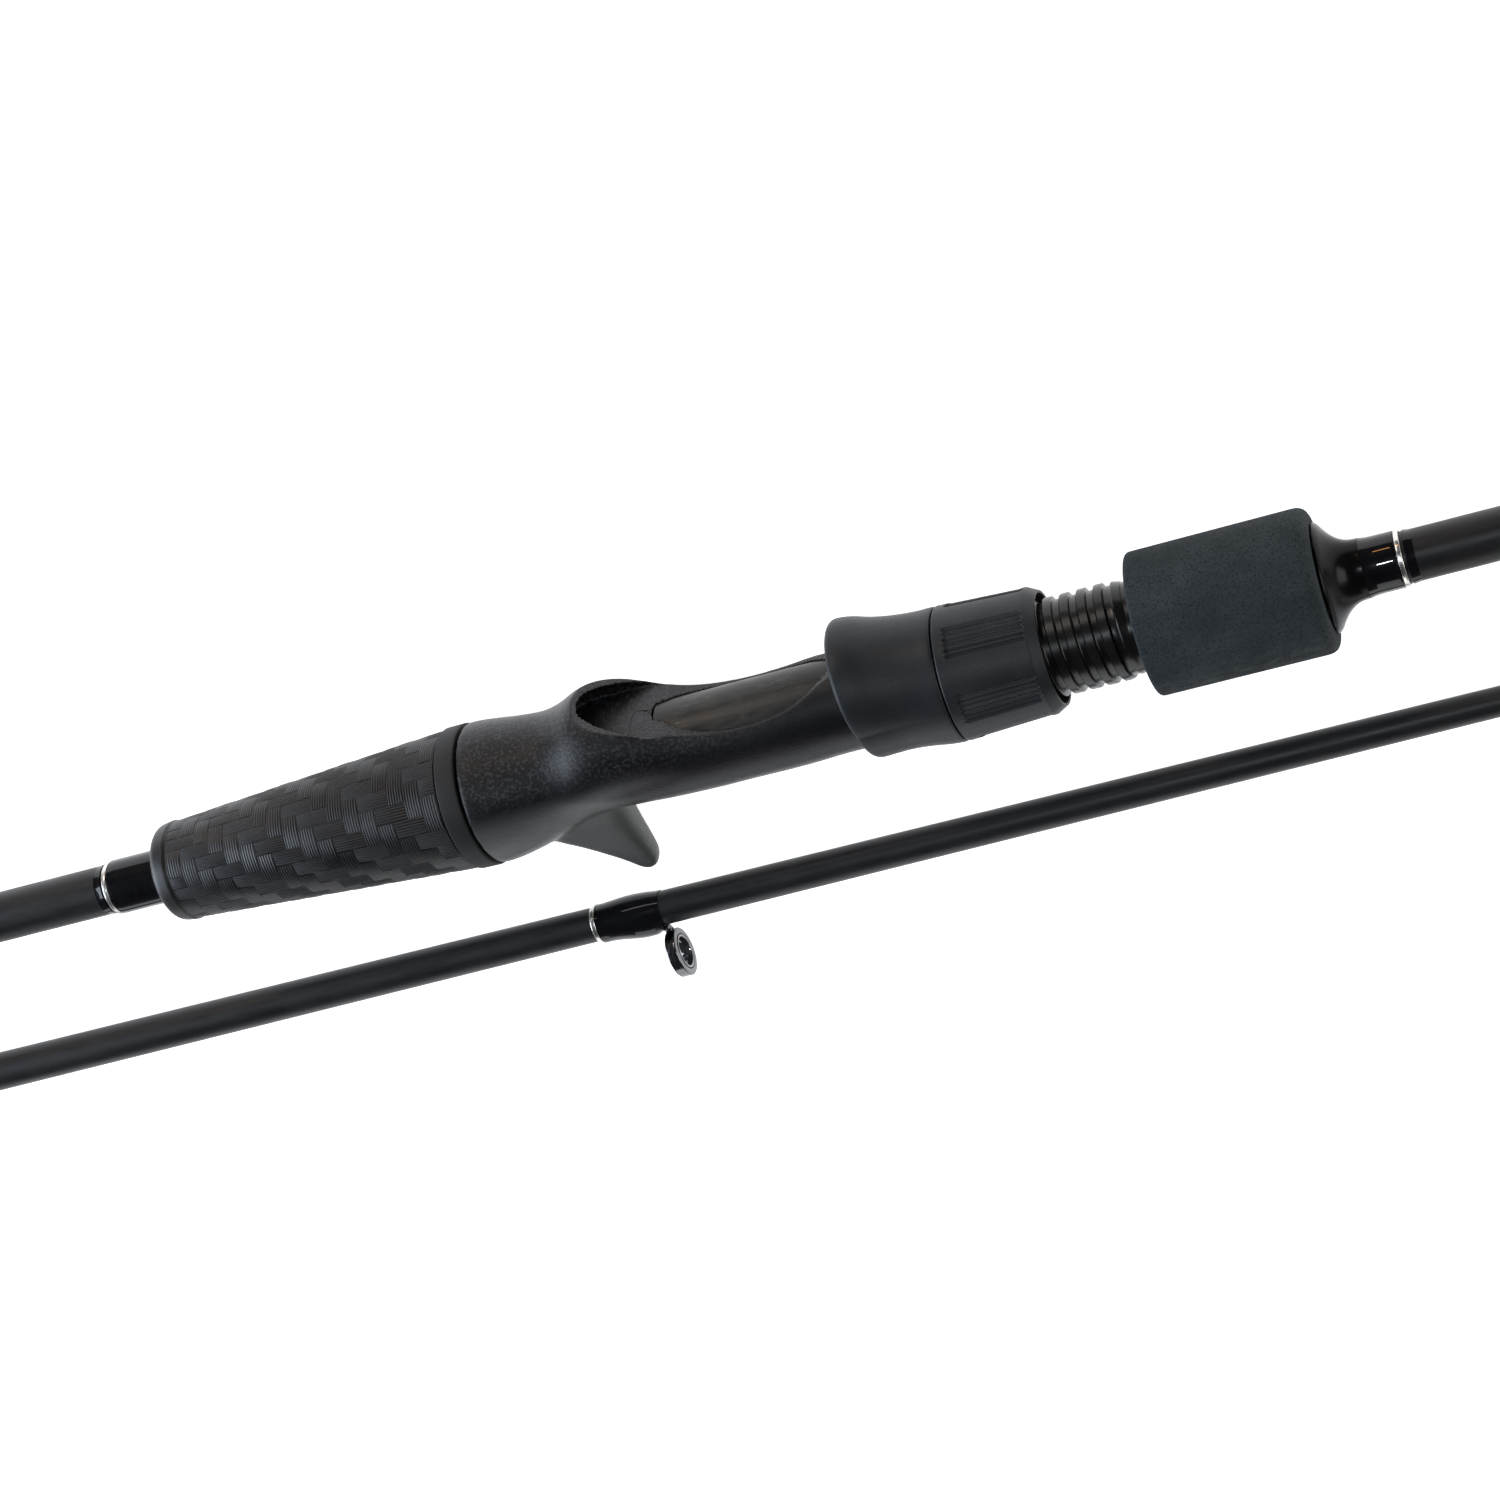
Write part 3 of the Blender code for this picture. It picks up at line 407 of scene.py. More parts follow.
LOOKS = {
    "carbon": carbon_look(), "gloss": gloss_look(), "seat": seat_look(), "hood": hood_look(),
    "foam": foam_look(), "silver": silver_look(), "frame": frame_look(),
    "ceramic": ceramic_look(), "core": core_look(),
    "rubber": rubber_look("moulded_rubber", (0.008, 0.008, 0.0085), 0.55, 0.3,
                          ((0.0055, 0.0055, 0.0062), (0.0105, 0.0105, 0.0108)), (0.7, 0.54), 0.02),
}
WINDOW_LOOK, THREAD_LOOK, CHECK_LOOK = window_look(), thread_look(), check_look()
WEAVE_LOOK = rubber_look("pressed_rubber", (0.0065, 0.0065, 0.0072), 0.42, 0.42,
                         ((0.0025, 0.0025, 0.0032), (0.0055, 0.0055, 0.0058)), (0.38, 0.48), 0.006)


# Shapes


def band(low, high, count):
    """Faces between two rings of points, from the numbers of their first points."""
    return [(low + k, low + (k + 1) % count, high + (k + 1) % count, high + k) for k in range(count)]


def lofted(rings, closed):
    """Faces between rings of equal count, in order. A closed loft joins its last ring to its first."""
    count = len(rings[0])
    points = [p for ring in rings for p in ring]
    steps = len(rings) if closed else len(rings) - 1
    faces = []
    for i in range(steps):
        faces += band(i * count, (i + 1) % len(rings) * count, count)
    if not closed:
        faces.append(tuple(range(count)))
        faces.append(tuple(range(len(points) - count, len(points))))
    return points, faces


def circle(x, radius, sides):
    turn = tau / sides
    return [(x, radius * cos(k * turn), radius * sin(k * turn)) for k in range(sides)]


def uneven_circle(x, sides, radius_at_turn):
    ring = []
    for k in range(sides):
        turn = tau * k / sides
        radius = radius_at_turn(turn)
        ring.append((x, radius * cos(turn), radius * sin(turn)))
    return ring


def bored(body, name, rings):
    combine(body, solid(name, *lofted(rings, False)), "DIFFERENCE")


def body_of(node):
    return next(body for body, nodes in frame["record"]["behaviour"]["bodies"].items() if node in nodes)


def solid(name, points, faces, angle=40):
    """A mesh object in a section's frame, from points in millimetres."""
    mesh = bpy.data.meshes.new(name)
    mesh.from_pydata([(x * MM, y * MM, z * MM) for x, y, z in points], [], faces)
    work = bmesh.new()
    work.from_mesh(mesh)
    bmesh.ops.remove_doubles(work, verts=work.verts, dist=1e-7)
    bmesh.ops.recalc_face_normals(work, faces=work.faces)
    work.to_mesh(mesh)
    work.free()
    made = bpy.data.objects.new(name, mesh)
    bpy.context.scene.collection.objects.link(made)
    mesh.shade_smooth()
    mesh.set_sharp_from_angle(angle=radians(angle))
    return made


def settle(made, section, slot, *nodes, look=None):
    """Lays a finished piece in its section, gives it its look and lets it stand for CAD nodes."""
    made.data.materials.clear()
    made.data.materials.append(look or LOOKS[slot])
    made.data.transform(section)
    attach(made, body_of(nodes[0]))
    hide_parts(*nodes)


def evaluated(made):
    """Applies an object's modifiers."""
    graph = bpy.context.evaluated_depsgraph_get()
    mesh = bpy.data.meshes.new_from_object(made.evaluated_get(graph))
    made.modifiers.clear()
    made.data = mesh


def combine(base, tool, operation):
    cut = base.modifiers.new("cut", "BOOLEAN")
    cut.object = tool
    cut.operation = operation
    cut.solver = "EXACT"
    evaluated(base)
    bpy.data.objects.remove(tool, do_unlink=True)


def softened(made, voxel, rounds):
    """Remeshes a solid to even facets and smooths them, which rounds its edges like a moulding's."""
    remesh = made.modifiers.new("remesh", "REMESH")
    remesh.mode = "VOXEL"
    remesh.voxel_size = voxel * MM
    smooth = made.modifiers.new("smooth", "SMOOTH")
    smooth.factor = 0.5
    smooth.iterations = rounds
    evaluated(made)
    made.data.shade_smooth()


def filleted(outline, steps=4):
    """Rounds the corners of a closed outline of (x, r, fillet) points; a fillet left out is 0.12."""
    corners = [(Vector(p[:2]), p[2] if len(p) > 2 else 0.12) for p in outline]
    found = []
    for k, (corner, radius) in enumerate(corners):
        back = corners[k - 1][0] - corner
        ahead = corners[(k + 1) % len(corners)][0] - corner
        opening = back.angle(ahead)
        if radius == 0 or opening > radians(172):
            found.append(tuple(corner))
            continue
        reach = min(radius / np.tan(opening / 2), back.length * 0.48, ahead.length * 0.48)
        start, end = corner + back.normalized() * reach, corner + ahead.normalized() * reach
        for i in range(steps + 1):
            t = i / steps
            found.append(tuple((1 - t) ** 2 * start + 2 * t * (1 - t) * corner + t * t * end))
    return found


def turned(name, outline, sides=SIDES, steps=4):
    """A ring turned round x from a closed outline."""
    return solid(name, *lofted([circle(x, r, sides) for x, r in filleted(outline, steps)], True))


def between(table, x):
    """Reads a row of numbers at x from a table of (x, ...) rows, on a smooth curve through them."""
    x = min(max(x, table[0][0]), table[-1][0])
    k = max(i for i, row in enumerate(table[:-1]) if row[0] <= x)
    low, high = table[k], table[k + 1]
    before, after = table[max(k - 1, 0)], table[min(k + 2, len(table) - 1)]
    span = high[0] - low[0]
    t = (x - low[0]) / span
    found = []
    for a, b, c, d in zip(before[1:], low[1:], high[1:], after[1:]):
        leave = (c - a) / (high[0] - before[0]) * span
        arrive = (d - b) / (after[0] - low[0]) * span
        bend = 3 * (c - b) - 2 * leave - arrive
        twist = leave + arrive - 2 * (c - b)
        found.append(b + t * (leave + t * (bend + t * twist)))
    return found


def steps_between(start, end, count):
    return [start + (end - start) * k / count for k in range(count + 1)]


def eased(t):
    """Rises smoothly from 0 to 1."""
    t = min(max(t, 0.0), 1.0)
    return t * t * (3 - 2 * t)


def butt_radius(x):
    return 4.7 - (x - 142) * (0.00115 if x < 142 else 0.0027)


def tip_radius(x):
    return 2.78 - (x - 142) * (0.0036 if x < 142 else 0.00315)


def turned_piece(node, section, slot, outline, sides=SIDES, steps=4, look=None):
    settle(turned(f"{node}_fine", outline, sides, steps), section, slot, node, look=look)


# Blanks, wraps and rings


def trim_ring(node, section, radius_at, x, height):
    low, high = x - TRIM_WIDTH / 2, x + TRIM_WIDTH / 2
    outer, inner = radius_at(x) + height, radius_at(x) + BOND
    outline = [(low, outer, 0.2), (high, outer, 0.2), (high, inner, 0.05), (low, inner, 0.05)]
    turned_piece(node, section, "silver", outline, SLIM)


def wrap(node, section, radius_at, plain, ringed, height, meets=None):
    """A varnished wrap with a trim ring. Its other end meets a radius, or swells from the blank."""
    way = 1 if ringed > plain else -1
    outline = []
    for t in steps_between(0, 1, 16):
        x = plain + (ringed - plain) * t * t
        crown = radius_at(x) + height
        rise = eased(t * 1.6)
        start = radius_at(x) + BOND + 0.12 if meets is None else meets
        outline.append((x, start + (crown - start) * rise, 0))
    outline[-1] = (*outline[-1][:2], 0.12)
    outline += [(ringed, radius_at(ringed) + BOND, 0.05), (plain, radius_at(plain) + BOND, 0.05)]
    turned_piece(node, section, "gloss", outline, SLIM)
    ring = node.replace("wrap", "trim_ring")
    trim_ring(ring, section, radius_at, ringed + (TRIM_WIDTH / 2 + BOND) * way, height + 0.06)


def varnish_tail(name, section, body, radius_at, x, length):
    """The thin skin of varnish that runs out past a trim ring."""
    way = 1 if length > 0 else -1
    outline = []
    for t in steps_between(0, 1, 8):
        outline.append((x + length * t, radius_at(x) + 0.03 + 0.2 * (1 - t) ** 1.5, 0))
    outline += [(x + length, radius_at(x + length) + 0.01, 0), (x, radius_at(x) + 0.01, 0)]
    made = turned(name, outline, SLIM)
    made.data.materials.append(LOOKS["gloss"])
    made.data.transform(section)
    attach(made, body)


def blank(node, section, radius_at, start, end, wall, plug=None):
    """A tapered carbon tube with softened ends and, at a ferrule, a wider bore."""
    stations = steps_between(start, end, 24)
    ends = (start, end)
    outer = [(x, radius_at(x), 0.2 if x in ends else 0) for x in stations]
    inner = [(x, max(radius_at(x) - wall, 0.35), 0.1 if x in ends else 0) for x in reversed(stations)]
    if plug:
        bore, depth = plug
        inner = [p for p in inner if p[0] > start + depth]
        step = start + depth
        inner += [(step, radius_at(step) - wall), (step, bore), (start, bore, 0.15)]
    turned_piece(node, section, "carbon", outer + inner, SLIM)


# Handle


def weave_float(start, end, first, last, hoop):
    """One raised float of the weave: a domed patch with fine lines along its tow."""
    fine, coarse = TOW_LINES * len(LINE_SHAPE), 5
    columns, rows = (fine, coarse) if hoop else (coarse, fine)
    points, ring_count = [], rows + 3
    for i in range(-1, columns + 2):
        u = min(max(i, 0), columns) / columns
        x = start + (end - start) * u
        radius = GRIP_REAR_RADIUS + GRIP_FLARE * (x - GRIP_REAR) / (GRIP_FRONT - GRIP_REAR)
        marked = 0.35 + 0.65 * eased((x + 118) / 40)
        for j in range(-1, rows + 2):
            v = min(max(j, 0), rows) / rows
            turn = (first + (last - first) * v) * tau / TOWS_ROUND
            across, along = (u, v) if hoop else (v, u)
            line = LINE_SHAPE[round(across * fine) % len(LINE_SHAPE)]
            dome = 1 - (2 * across - 1) ** 2
            dive = 1 - (2 * along - 1) ** 4
            rise = 0.02 + 0.06 * dome + 0.1 * dive + (0.07 * (1 - across) if hoop else -0.03)
            rise += LINE_DEPTH * marked * (line - 0.3)
            if hoop and i <= 0:
                rise -= 0.07
            sunk = i in (-1, columns + 1) or j in (-1, rows + 1)
            height = radius - TOW_SINK + (-0.15 if sunk else max(rise, 0.01))
            points.append((x, height * cos(turn), height * sin(turn)))
    faces = []
    for i in range(columns + 2):
        for j in range(rows + 2):
            a = i * ring_count + j
            faces.append((a, a + 1, a + ring_count + 1, a + ring_count))
    edge = list(range(ring_count))
    edge += [i * ring_count + rows + 2 for i in range(1, columns + 3)]
    edge += [(columns + 2) * ring_count + j for j in range(rows + 1, -1, -1)]
    edge += [i * ring_count for i in range(columns + 1, 0, -1)]
    faces.append(tuple(edge))
    return points, faces


def rear_grip():
    """The tapered rubber grip with its twill of raised floats, and its plain collar."""
    end, sink = GRIP_REAR, TOW_SINK
    inner = butt_radius(end) + GAP
    weave_radius = GRIP_REAR_RADIUS + 0.24
    outline = [(end, inner, 0.2), (end, GRIP_REAR_RADIUS - 0.2, 2.6), (WEAVE_REAR - 0.6, weave_radius, 0.6),
               (WEAVE_REAR, weave_radius - sink, 0), (GRIP_FRONT, GRIP_FRONT_RADIUS - sink, 0.2),
               (GRIP_FRONT, GRIP_FRONT_RADIUS - GRIP_SKIN), (end + GRIP_SKIN, GRIP_REAR_RADIUS - GRIP_SKIN),
               (end + GRIP_SKIN, inner)]
    points, faces = lofted([circle(x, r, SIDES) for x, r in filleted(outline, 8)], True)
    for i in range(-1, TOWS_ALONG):
        start = WEAVE_REAR + i * TOW
        for j in range(TOWS_ROUND):
            phase = (j - i) % 4
            if phase not in (0, 3):
                continue
            hoop = phase == 0
            first, last = max(start, WEAVE_REAR), min(start + (TOW if hoop else 2 * TOW), WEAVE_FRONT)
            if hoop and i < 0:
                continue
            turns = j + FLOAT_TURN_GAP, j + (2 if hoop else 1) - FLOAT_TURN_GAP
            patch = weave_float(first + FLOAT_END_GAP, last - FLOAT_END_GAP, *turns, hoop)
            offset = len(points)
            points += patch[0]
            faces += [tuple(offset + n for n in face) for face in patch[1]]
    made = solid("rear_grip_fine", points, faces, 50)
    settle(made, BUTT, "rubber", "rear_grip", look=WEAVE_LOOK)
    start = GRIP_FRONT + GAP
    collar = [(start, inner), (start, COLLAR_RADIUS - 0.05, 0.35), (COLLAR_FRONT, COLLAR_RADIUS, 0.3),
              (COLLAR_FRONT, inner)]
    turned_piece("grip_collar", BUTT, "rubber", collar)
    wrap("rear_grip_wrap", BUTT, butt_radius, end - 0.1, -137.5, 0.5, butt_radius(end) + 0.6)
    varnish_tail("rear_grip_varnish_tail", BUTT, "butt_section", butt_radius, -139.1, -1.6)


def seat_section(x):
    """The seat's outer radius on the reel side, at its flanks and on the trigger side."""
    return between([
        (-55.3, 14.1, 14.1, 14.1), (-51, 13.8, 13.75, 13.7), (-45, 13.0, 12.9, 12.4),
        (-40, 12.6, 12.5, 10.6), (-37.5, 12.9, 12.3, 9.4), (-34.5, 13.8, 12.2, 8.4),
        (-31, 15.4, 12.0, 7.7), (-27, 16.2, 11.6, 7.7), (-22.7, 15.7, 11.1, 8.0),
        (-18.6, 14.1, 10.7, 8.9), (-14.4, 12.2, 10.45, 9.4), (-10.3, 10.8, 10.25, 9.7),
        (-6, 10.1, 10.05, 9.9), (-2, 9.85, 9.85, 9.95), (2, 9.75, 9.75, 10.05), (9, 9.7, 9.7, 10.05),
        (14, 9.65, 9.65, 9.8), (17.2, *[BARREL_RADIUS] * 3), (40, *[BARREL_RADIUS] * 3),
    ], x)


def seat_keel(x):
    """Where the seat's flanks turn under towards the trigger, and how sharply: a power of 1 is a crease."""
    return between([
        (-55, 0.0, 2.0), (-50, 0.3, 2.0), (-45, 0.34, 1.3), (-38, 0.21, 1.0), (-33, 0.08, 1.0),
        (-28, -0.1, 1.0), (-23, -0.1, 1.5), (-16, 0.0, 2.0), (40, 0.0, 2.0),
    ], x)


def oval(x, top, flank, bottom, keel=(0.0, 2.0)):
    """A ring whose radius eases from the reel side through the flanks to the trigger side.

    Below a line on its flanks, keel's height on a scale of one, it narrows with keel's power.
    """
    height, power = keel

    def radius(turn):
        up = sin(turn)
        found = flank + (top - flank) * max(up, 0)
        if up < height:
            found += (bottom - flank) * ((height - up) / (1 + height)) ** power
        return found

    return uneven_circle(x, SIDES, radius)


def deck_line():
    """The reel deck's height along the seat: a saddle between the two hoods."""
    line = [(-31.0, 17.5), (-30.0, 15.0), (-27.5, 13.8), (-24.0, 12.4), (-20.0, 10.7), (-16.5, 9.2)]
    line += [(-13.0, 7.85), (-9.5, 6.8), (-5.5, 5.95), (-1.0, 5.45), (4.0, 5.45), (9.0, 5.95), (13.0, 6.9)]
    line += [(17.0, 8.2), (INSERT_FRONT + 0.9, DECK_HEIGHT)]
    smooth = [(x, between(line, x)[0]) for x in steps_between(line[0][0], line[-1][0], 90)]
    front = BARREL_STEP + 2
    return smooth + [(front, DECK_HEIGHT), (front, 17.0)]


def prism(name, side, half_width):
    rings = [[(x, y, z) for x, z in side] for y in (-half_width, half_width)]
    return solid(name, *lofted(rings, False))


def arch(x, half_width, floor_height, spring, roof, steps=28):
    """A doorway across the reel side: a flat floor, and an elliptical roof above the spring line."""
    turns = [pi * k / steps for k in range(steps + 1)]
    ring = [(x, half_width * cos(a), spring + (roof - spring) * sin(a)) for a in turns]
    return ring + [(x, -half_width, floor_height), (x, half_width, floor_height)]


def trigger():
    """The finger trigger: a blunt fin that flows out of the seat on the side away from the reel."""
    table = [  # depth below the axis, rear edge, front edge, half thickness
        (1.0, -50.0, -27.6, 10.4), (4.0, -50.0, -28.3, 8.3), (7.0, -49.5, -28.9, 6.5),
        (10.0, -48.5, -29.2, 5.6), (13.0, -46.0, -29.3, 5.0), (16.0, -42.2, -29.2, 4.4),
        (19.0, -38.8, -29.0, 3.85), (22.0, -35.7, -28.8, 3.3), (24.8, -33.3, -28.9, 2.8),
        (26.0, -32.3, -29.7, 2.2),
    ]
    rings = []
    for depth in steps_between(table[0][0], table[-1][0], 60):
        rear, front, half = between(table, depth)
        ring = []
        for k in range(40):
            c, s = cos(tau * k / 40), sin(tau * k / 40)
            scale = (abs(c) ** 4 + abs(s) ** 4) ** (-1 / 4)
            ring.append(((rear + front) / 2 + (front - rear) / 2 * c * scale, half * s * scale, -depth))
        rings.append(ring)
    return solid("trigger", *lofted(rings, False))


def helix(name, rear, turns, root, profile, before, after, sides=SIDES):
    """A threaded tube wall: profile is (offset along the pitch, height) and repeats every pitch."""
    points, faces = [], []
    count = len(profile)
    last = count * turns
    for k in range(last + 1):
        offset, height = profile[k % count]
        for j in range(sides):
            x = rear + THREAD_PITCH * (k // count + j / sides) + offset
            grown = min((x - rear) / THREAD_PITCH - 1, (rear + THREAD_PITCH * turns - x) / THREAD_PITCH, 1)
            radius = root + height * max(grown, 0)
            points.append((x, radius * cos(tau * j / sides), radius * sin(tau * j / sides)))

    def at(k, j):
        return k * sides + j

    end = sides - 1
    for k in range(last):
        faces += [(at(k, j), at(k, j + 1), at(k + 1, j + 1), at(k + 1, j)) for j in range(end)]
    for k in range(last - count):
        faces.append((at(k, end), at(k + count, 0), at(k + count + 1, 0), at(k + 1, end)))
    rings = []
    for outline in (before, after):
        rings.append(len(points))
        points += [p for x, r in outline for p in circle(x, r, sides)]
        for n in range(len(outline) - 1):
            low = rings[-1] + n * sides
            faces += band(low, low + sides, sides)
    low, high = rings[1] - sides, rings[1]
    for j in range(end):
        faces.append((low + j, low + j + 1, at(0, j + 1), at(0, j)))
        faces.append((at(last, j), at(last, j + 1), high + j + 1, high + j))
    faces.append((low + end, low, *(at(k, 0) for k in range(count + 1)), at(0, end)))
    faces.append((at(last - count, end), at(last, 0), high, high + end,
                  *(at(k, end) for k in range(last, last - count, -1))))
    faces += band(rings[0], len(points) - sides, sides)
    return solid(name, points, faces, 30)


def seat_thread():
    """The seat's coarse thread, with wide, flat crests and softened edges."""
    root = THREAD_RADIUS - THREAD_DEPTH
    edge, crest, depth = 0.16, 1.7, THREAD_DEPTH
    profile = [(0, 0), (0.12, 0.1 * depth), (0.22, 0.75 * depth), (0.22 + edge, depth),
               (0.3 + edge + 0.5 * crest - 0.2, depth), (0.28 + crest - edge, depth),
               (0.28 + crest, 0.75 * depth), (0.38 + crest, 0.1 * depth), (0.5 + crest, 0),
               (0.5 + crest + 0.45, 0)]
    front = THREAD_REAR + THREAD_PITCH * (THREAD_TURNS + 1) + 0.3
    before = [(BARREL_STEP - 0.4, SEAT_BORE), (BARREL_STEP - 0.4, root), (THREAD_REAR - 0.3, root)]
    after = [(front, root), (SEAT_FRONT - 0.3, root), (SEAT_FRONT, root - 0.3), (SEAT_FRONT, SEAT_BORE)]
    return helix("seat_thread", THREAD_REAR, THREAD_TURNS, root, profile, before, after)


def reel_seat():
    """The seat's moulded body with its deck, rear pocket and trigger, and the window's insert."""
    stations = steps_between(SEAT_REAR, BARREL_STEP, 110)
    body = solid("seat_shell", *lofted([oval(x, *seat_section(x), seat_keel(x)) for x in stations], False))
    combine(body, trigger(), "UNION")
    softened(body, 0.4, 40)
    combine(body, prism("deck_cut", deck_line(), 20), "DIFFERENCE")
    base = POCKET_FLOOR
    widths = [  # station, share of the full width, fall of the floor
        (POCKET_REAR, 0.3, 0), (POCKET_REAR + 1.5, 0.52, 0), (-33.5, 0.78, 0), (-30.5, 0.97, 0),
        (-28, 1.0, 0), (-19, 1.0, 0), (-17.5, 1.0, 0.14), (-15.5, 1.0, 0.5), (-12, 1.0, 1.15),
    ]
    rings = []
    for x in steps_between(POCKET_REAR, -12, 24):
        share, fall = between(widths, x)
        share = min(share, 1.0)
        rings.append(arch(x, POCKET_HALF_WIDTH * share, base - max(fall, 0), base + 0.2,
                          base + (POCKET_ROOF - base) * share))
    bored(body, "pocket", rings)
    window, front = INSERT_RADIUS + 0.13, INSERT_FRONT + GAP
    bore = [(SEAT_REAR - 1, SEAT_BORE), (INSERT_REAR - GAP, SEAT_BORE), (INSERT_REAR + 1.1, window),
            (front, window), (front, SEAT_BORE), (BARREL_STEP + 1, SEAT_BORE)]
    bored(body, "bore", [circle(x, r, SIDES) for x, r in bore])
    softened(body, 0.22, 5)
    settle(body, BUTT, "seat", "reel_seat_body")
    settle(seat_thread(), BUTT, "seat", "reel_seat_body", look=THREAD_LOOK)
    parting_line()
    inner = butt_radius(0) + GAP + 0.4
    outline = [(INSERT_REAR, 6.4, 0.3), (INSERT_REAR + 1.4, INSERT_RADIUS, 0.3),
               (INSERT_FRONT, INSERT_RADIUS, 0.3), (INSERT_FRONT, inner), (INSERT_REAR, inner)]
    turned_piece("deck_insert", BUTT, "carbon", outline, look=WINDOW_LOOK)


def parting_line():
    """A hair of moulding flash on the deck, hooking from the pocket to the window's tip."""
    path = [(-20.5, -7.4), (-20.5, -5.0), (-20.5, -2.0), (-20.45, 0.0), (-19.9, 0.9), (-18.9, 0.9),
            (-17.8, 0.5), (-16.6, 0.0)]
    table = [(k, x, y) for k, (x, y) in enumerate(path)]
    rings = []
    for t in steps_between(0, len(path) - 1, 60):
        x, y = between(table, t)
        ahead = Vector(between(table, t + 0.05)) - Vector(between(table, t - 0.05))
        side = Vector((-ahead.y, ahead.x)).normalized()
        rings.append([(x + side.x * 0.07 * cos(a), y + side.y * 0.07 * cos(a), POCKET_FLOOR + 0.08 * sin(a))
                      for a in (tau * k / 8 for k in range(8))])
    line = solid("deck_parting_line", *lofted(rings, False))
    settle(line, BUTT, "seat", "reel_seat_body", look=WINDOW_LOOK)


def sliding_hood():
    """The hood that slides up to the front of the reel foot."""
    table = [
        (HOOD_MOUTH, 15.3, 12.4, 11.1), (23, 15.8, 12.7, 11.4), (25.5, 15.5, 12.6, 11.4),
        (29, 14.3, 12.3, 11.5), (33, 13.4, 12.3, 12.0), (37, 12.9, 12.6, 12.7),
        (HOOD_FRONT - 0.4, 12.85, 12.85, 12.85), (HOOD_FRONT, 12.65, 12.65, 12.65),
    ]
    rings = []
    for x in steps_between(HOOD_MOUTH, HOOD_FRONT, 60):
        share = (HOOD_FRONT - x) / (HOOD_FRONT - HOOD_MOUTH)
        ring = oval(x, *between(table, x))
        slant = HOOD_SLANT * share
        rings.append([(x - slant * sin(tau * k / SIDES), y, z) for k, (_, y, z) in enumerate(ring)])
    body = solid("hood_fine", *lofted(rings, False))
    recess = NECK_RADIUS + GAP
    shoulder = NECK_REAR - 1.1
    bore = [(10, HOOD_BORE), (shoulder, HOOD_BORE), (shoulder, recess), (HOOD_FRONT + 1, recess)]
    bored(body, "bore", [circle(x, r, SIDES) for x, r in bore])
    ends = [(10, 8.0, HOOD_ROOF), (HOOD_POCKET_FRONT - 7.5, 8.0, HOOD_ROOF), (HOOD_POCKET_FRONT, 7.0, 11.4)]
    pocket = [arch(x, half, 5.0, 8.2, roof) for x, half, roof in ends]
    bored(body, "pocket", pocket)
    softened(body, 0.2, 4)
    settle(body, BUTT, "hood", "hood")


def nut_radius(x, turn):
    """The nut's outer radius: a shallow cone with six grooved grip panels and a front bevel."""
    chamfer = NUT_FRONT - NUT_CHAMFER
    if x > chamfer:
        return NUT_FRONT_RADIUS - 1.1 * (x - chamfer) / NUT_CHAMFER
    taper = NUT_FRONT_RADIUS - NUT_REAR_RADIUS
    radius = NUT_REAR_RADIUS + taper * (x - NUT_REAR) / (chamfer - NUT_REAR)
    radius -= 0.2 * (1 - eased((x - NUT_REAR) / 0.3))
    pitch = tau / NUT_PANELS
    across = ((turn - PANEL_TURN + pitch / 2) % pitch - pitch / 2) / PANEL_ANGLE + 0.5
    if not 0 < across < 1:
        return radius
    rib = abs((across * NUT_RIBS) % 1 - 0.5) * 2
    point = 0.8 * (1 - rib)
    inside = min(x - PANEL_REAR + point - 0.3, PANEL_FRONT + point - 0.3 - x)
    ends = eased(inside / 0.3 + 0.5)
    return radius - RIB_DEPTH * (1 - rib) * ends - 0.12 * ends


def lock_nut():
    """The nut that drives the hood; its neck turns in the hood's front recess."""
    stations = []
    for start, end, count in ((NUT_REAR, NUT_REAR + 0.6, 4), (NUT_REAR + 0.8, PANEL_REAR + 0.9, 18),
                              (PANEL_REAR + 1.2, PANEL_FRONT - 0.5, 14), (PANEL_FRONT - 0.4, 57.6, 12)):
        stations += steps_between(start, end, count)
    stations += [57.8, 58.0, 58.4, 59.2, NUT_FRONT]
    sides = 540  # enough to show the ribs
    rings = [circle(NECK_REAR, NUT_BORE + 0.4, sides), circle(NECK_REAR, NECK_RADIUS, sides),
             circle(NUT_REAR - 0.1, NECK_RADIUS, sides), circle(NUT_REAR, NECK_RADIUS + 0.1, sides)]
    rings += [uneven_circle(x, sides, lambda turn: nut_radius(x, turn)) for x in stations]
    inside = [(NUT_FRONT, 10.5), (NUT_FRONT - 0.1, 10.4), (NUT_FRONT - 2.6, 10.2),
              (NUT_FRONT - 3.0, NUT_BORE), (NECK_REAR + 0.4, NUT_BORE)]
    rings += [circle(x, r, sides) for x, r in inside]
    settle(solid("nut_fine", *lofted(rings, True), 38), BUTT, "hood", "nut")


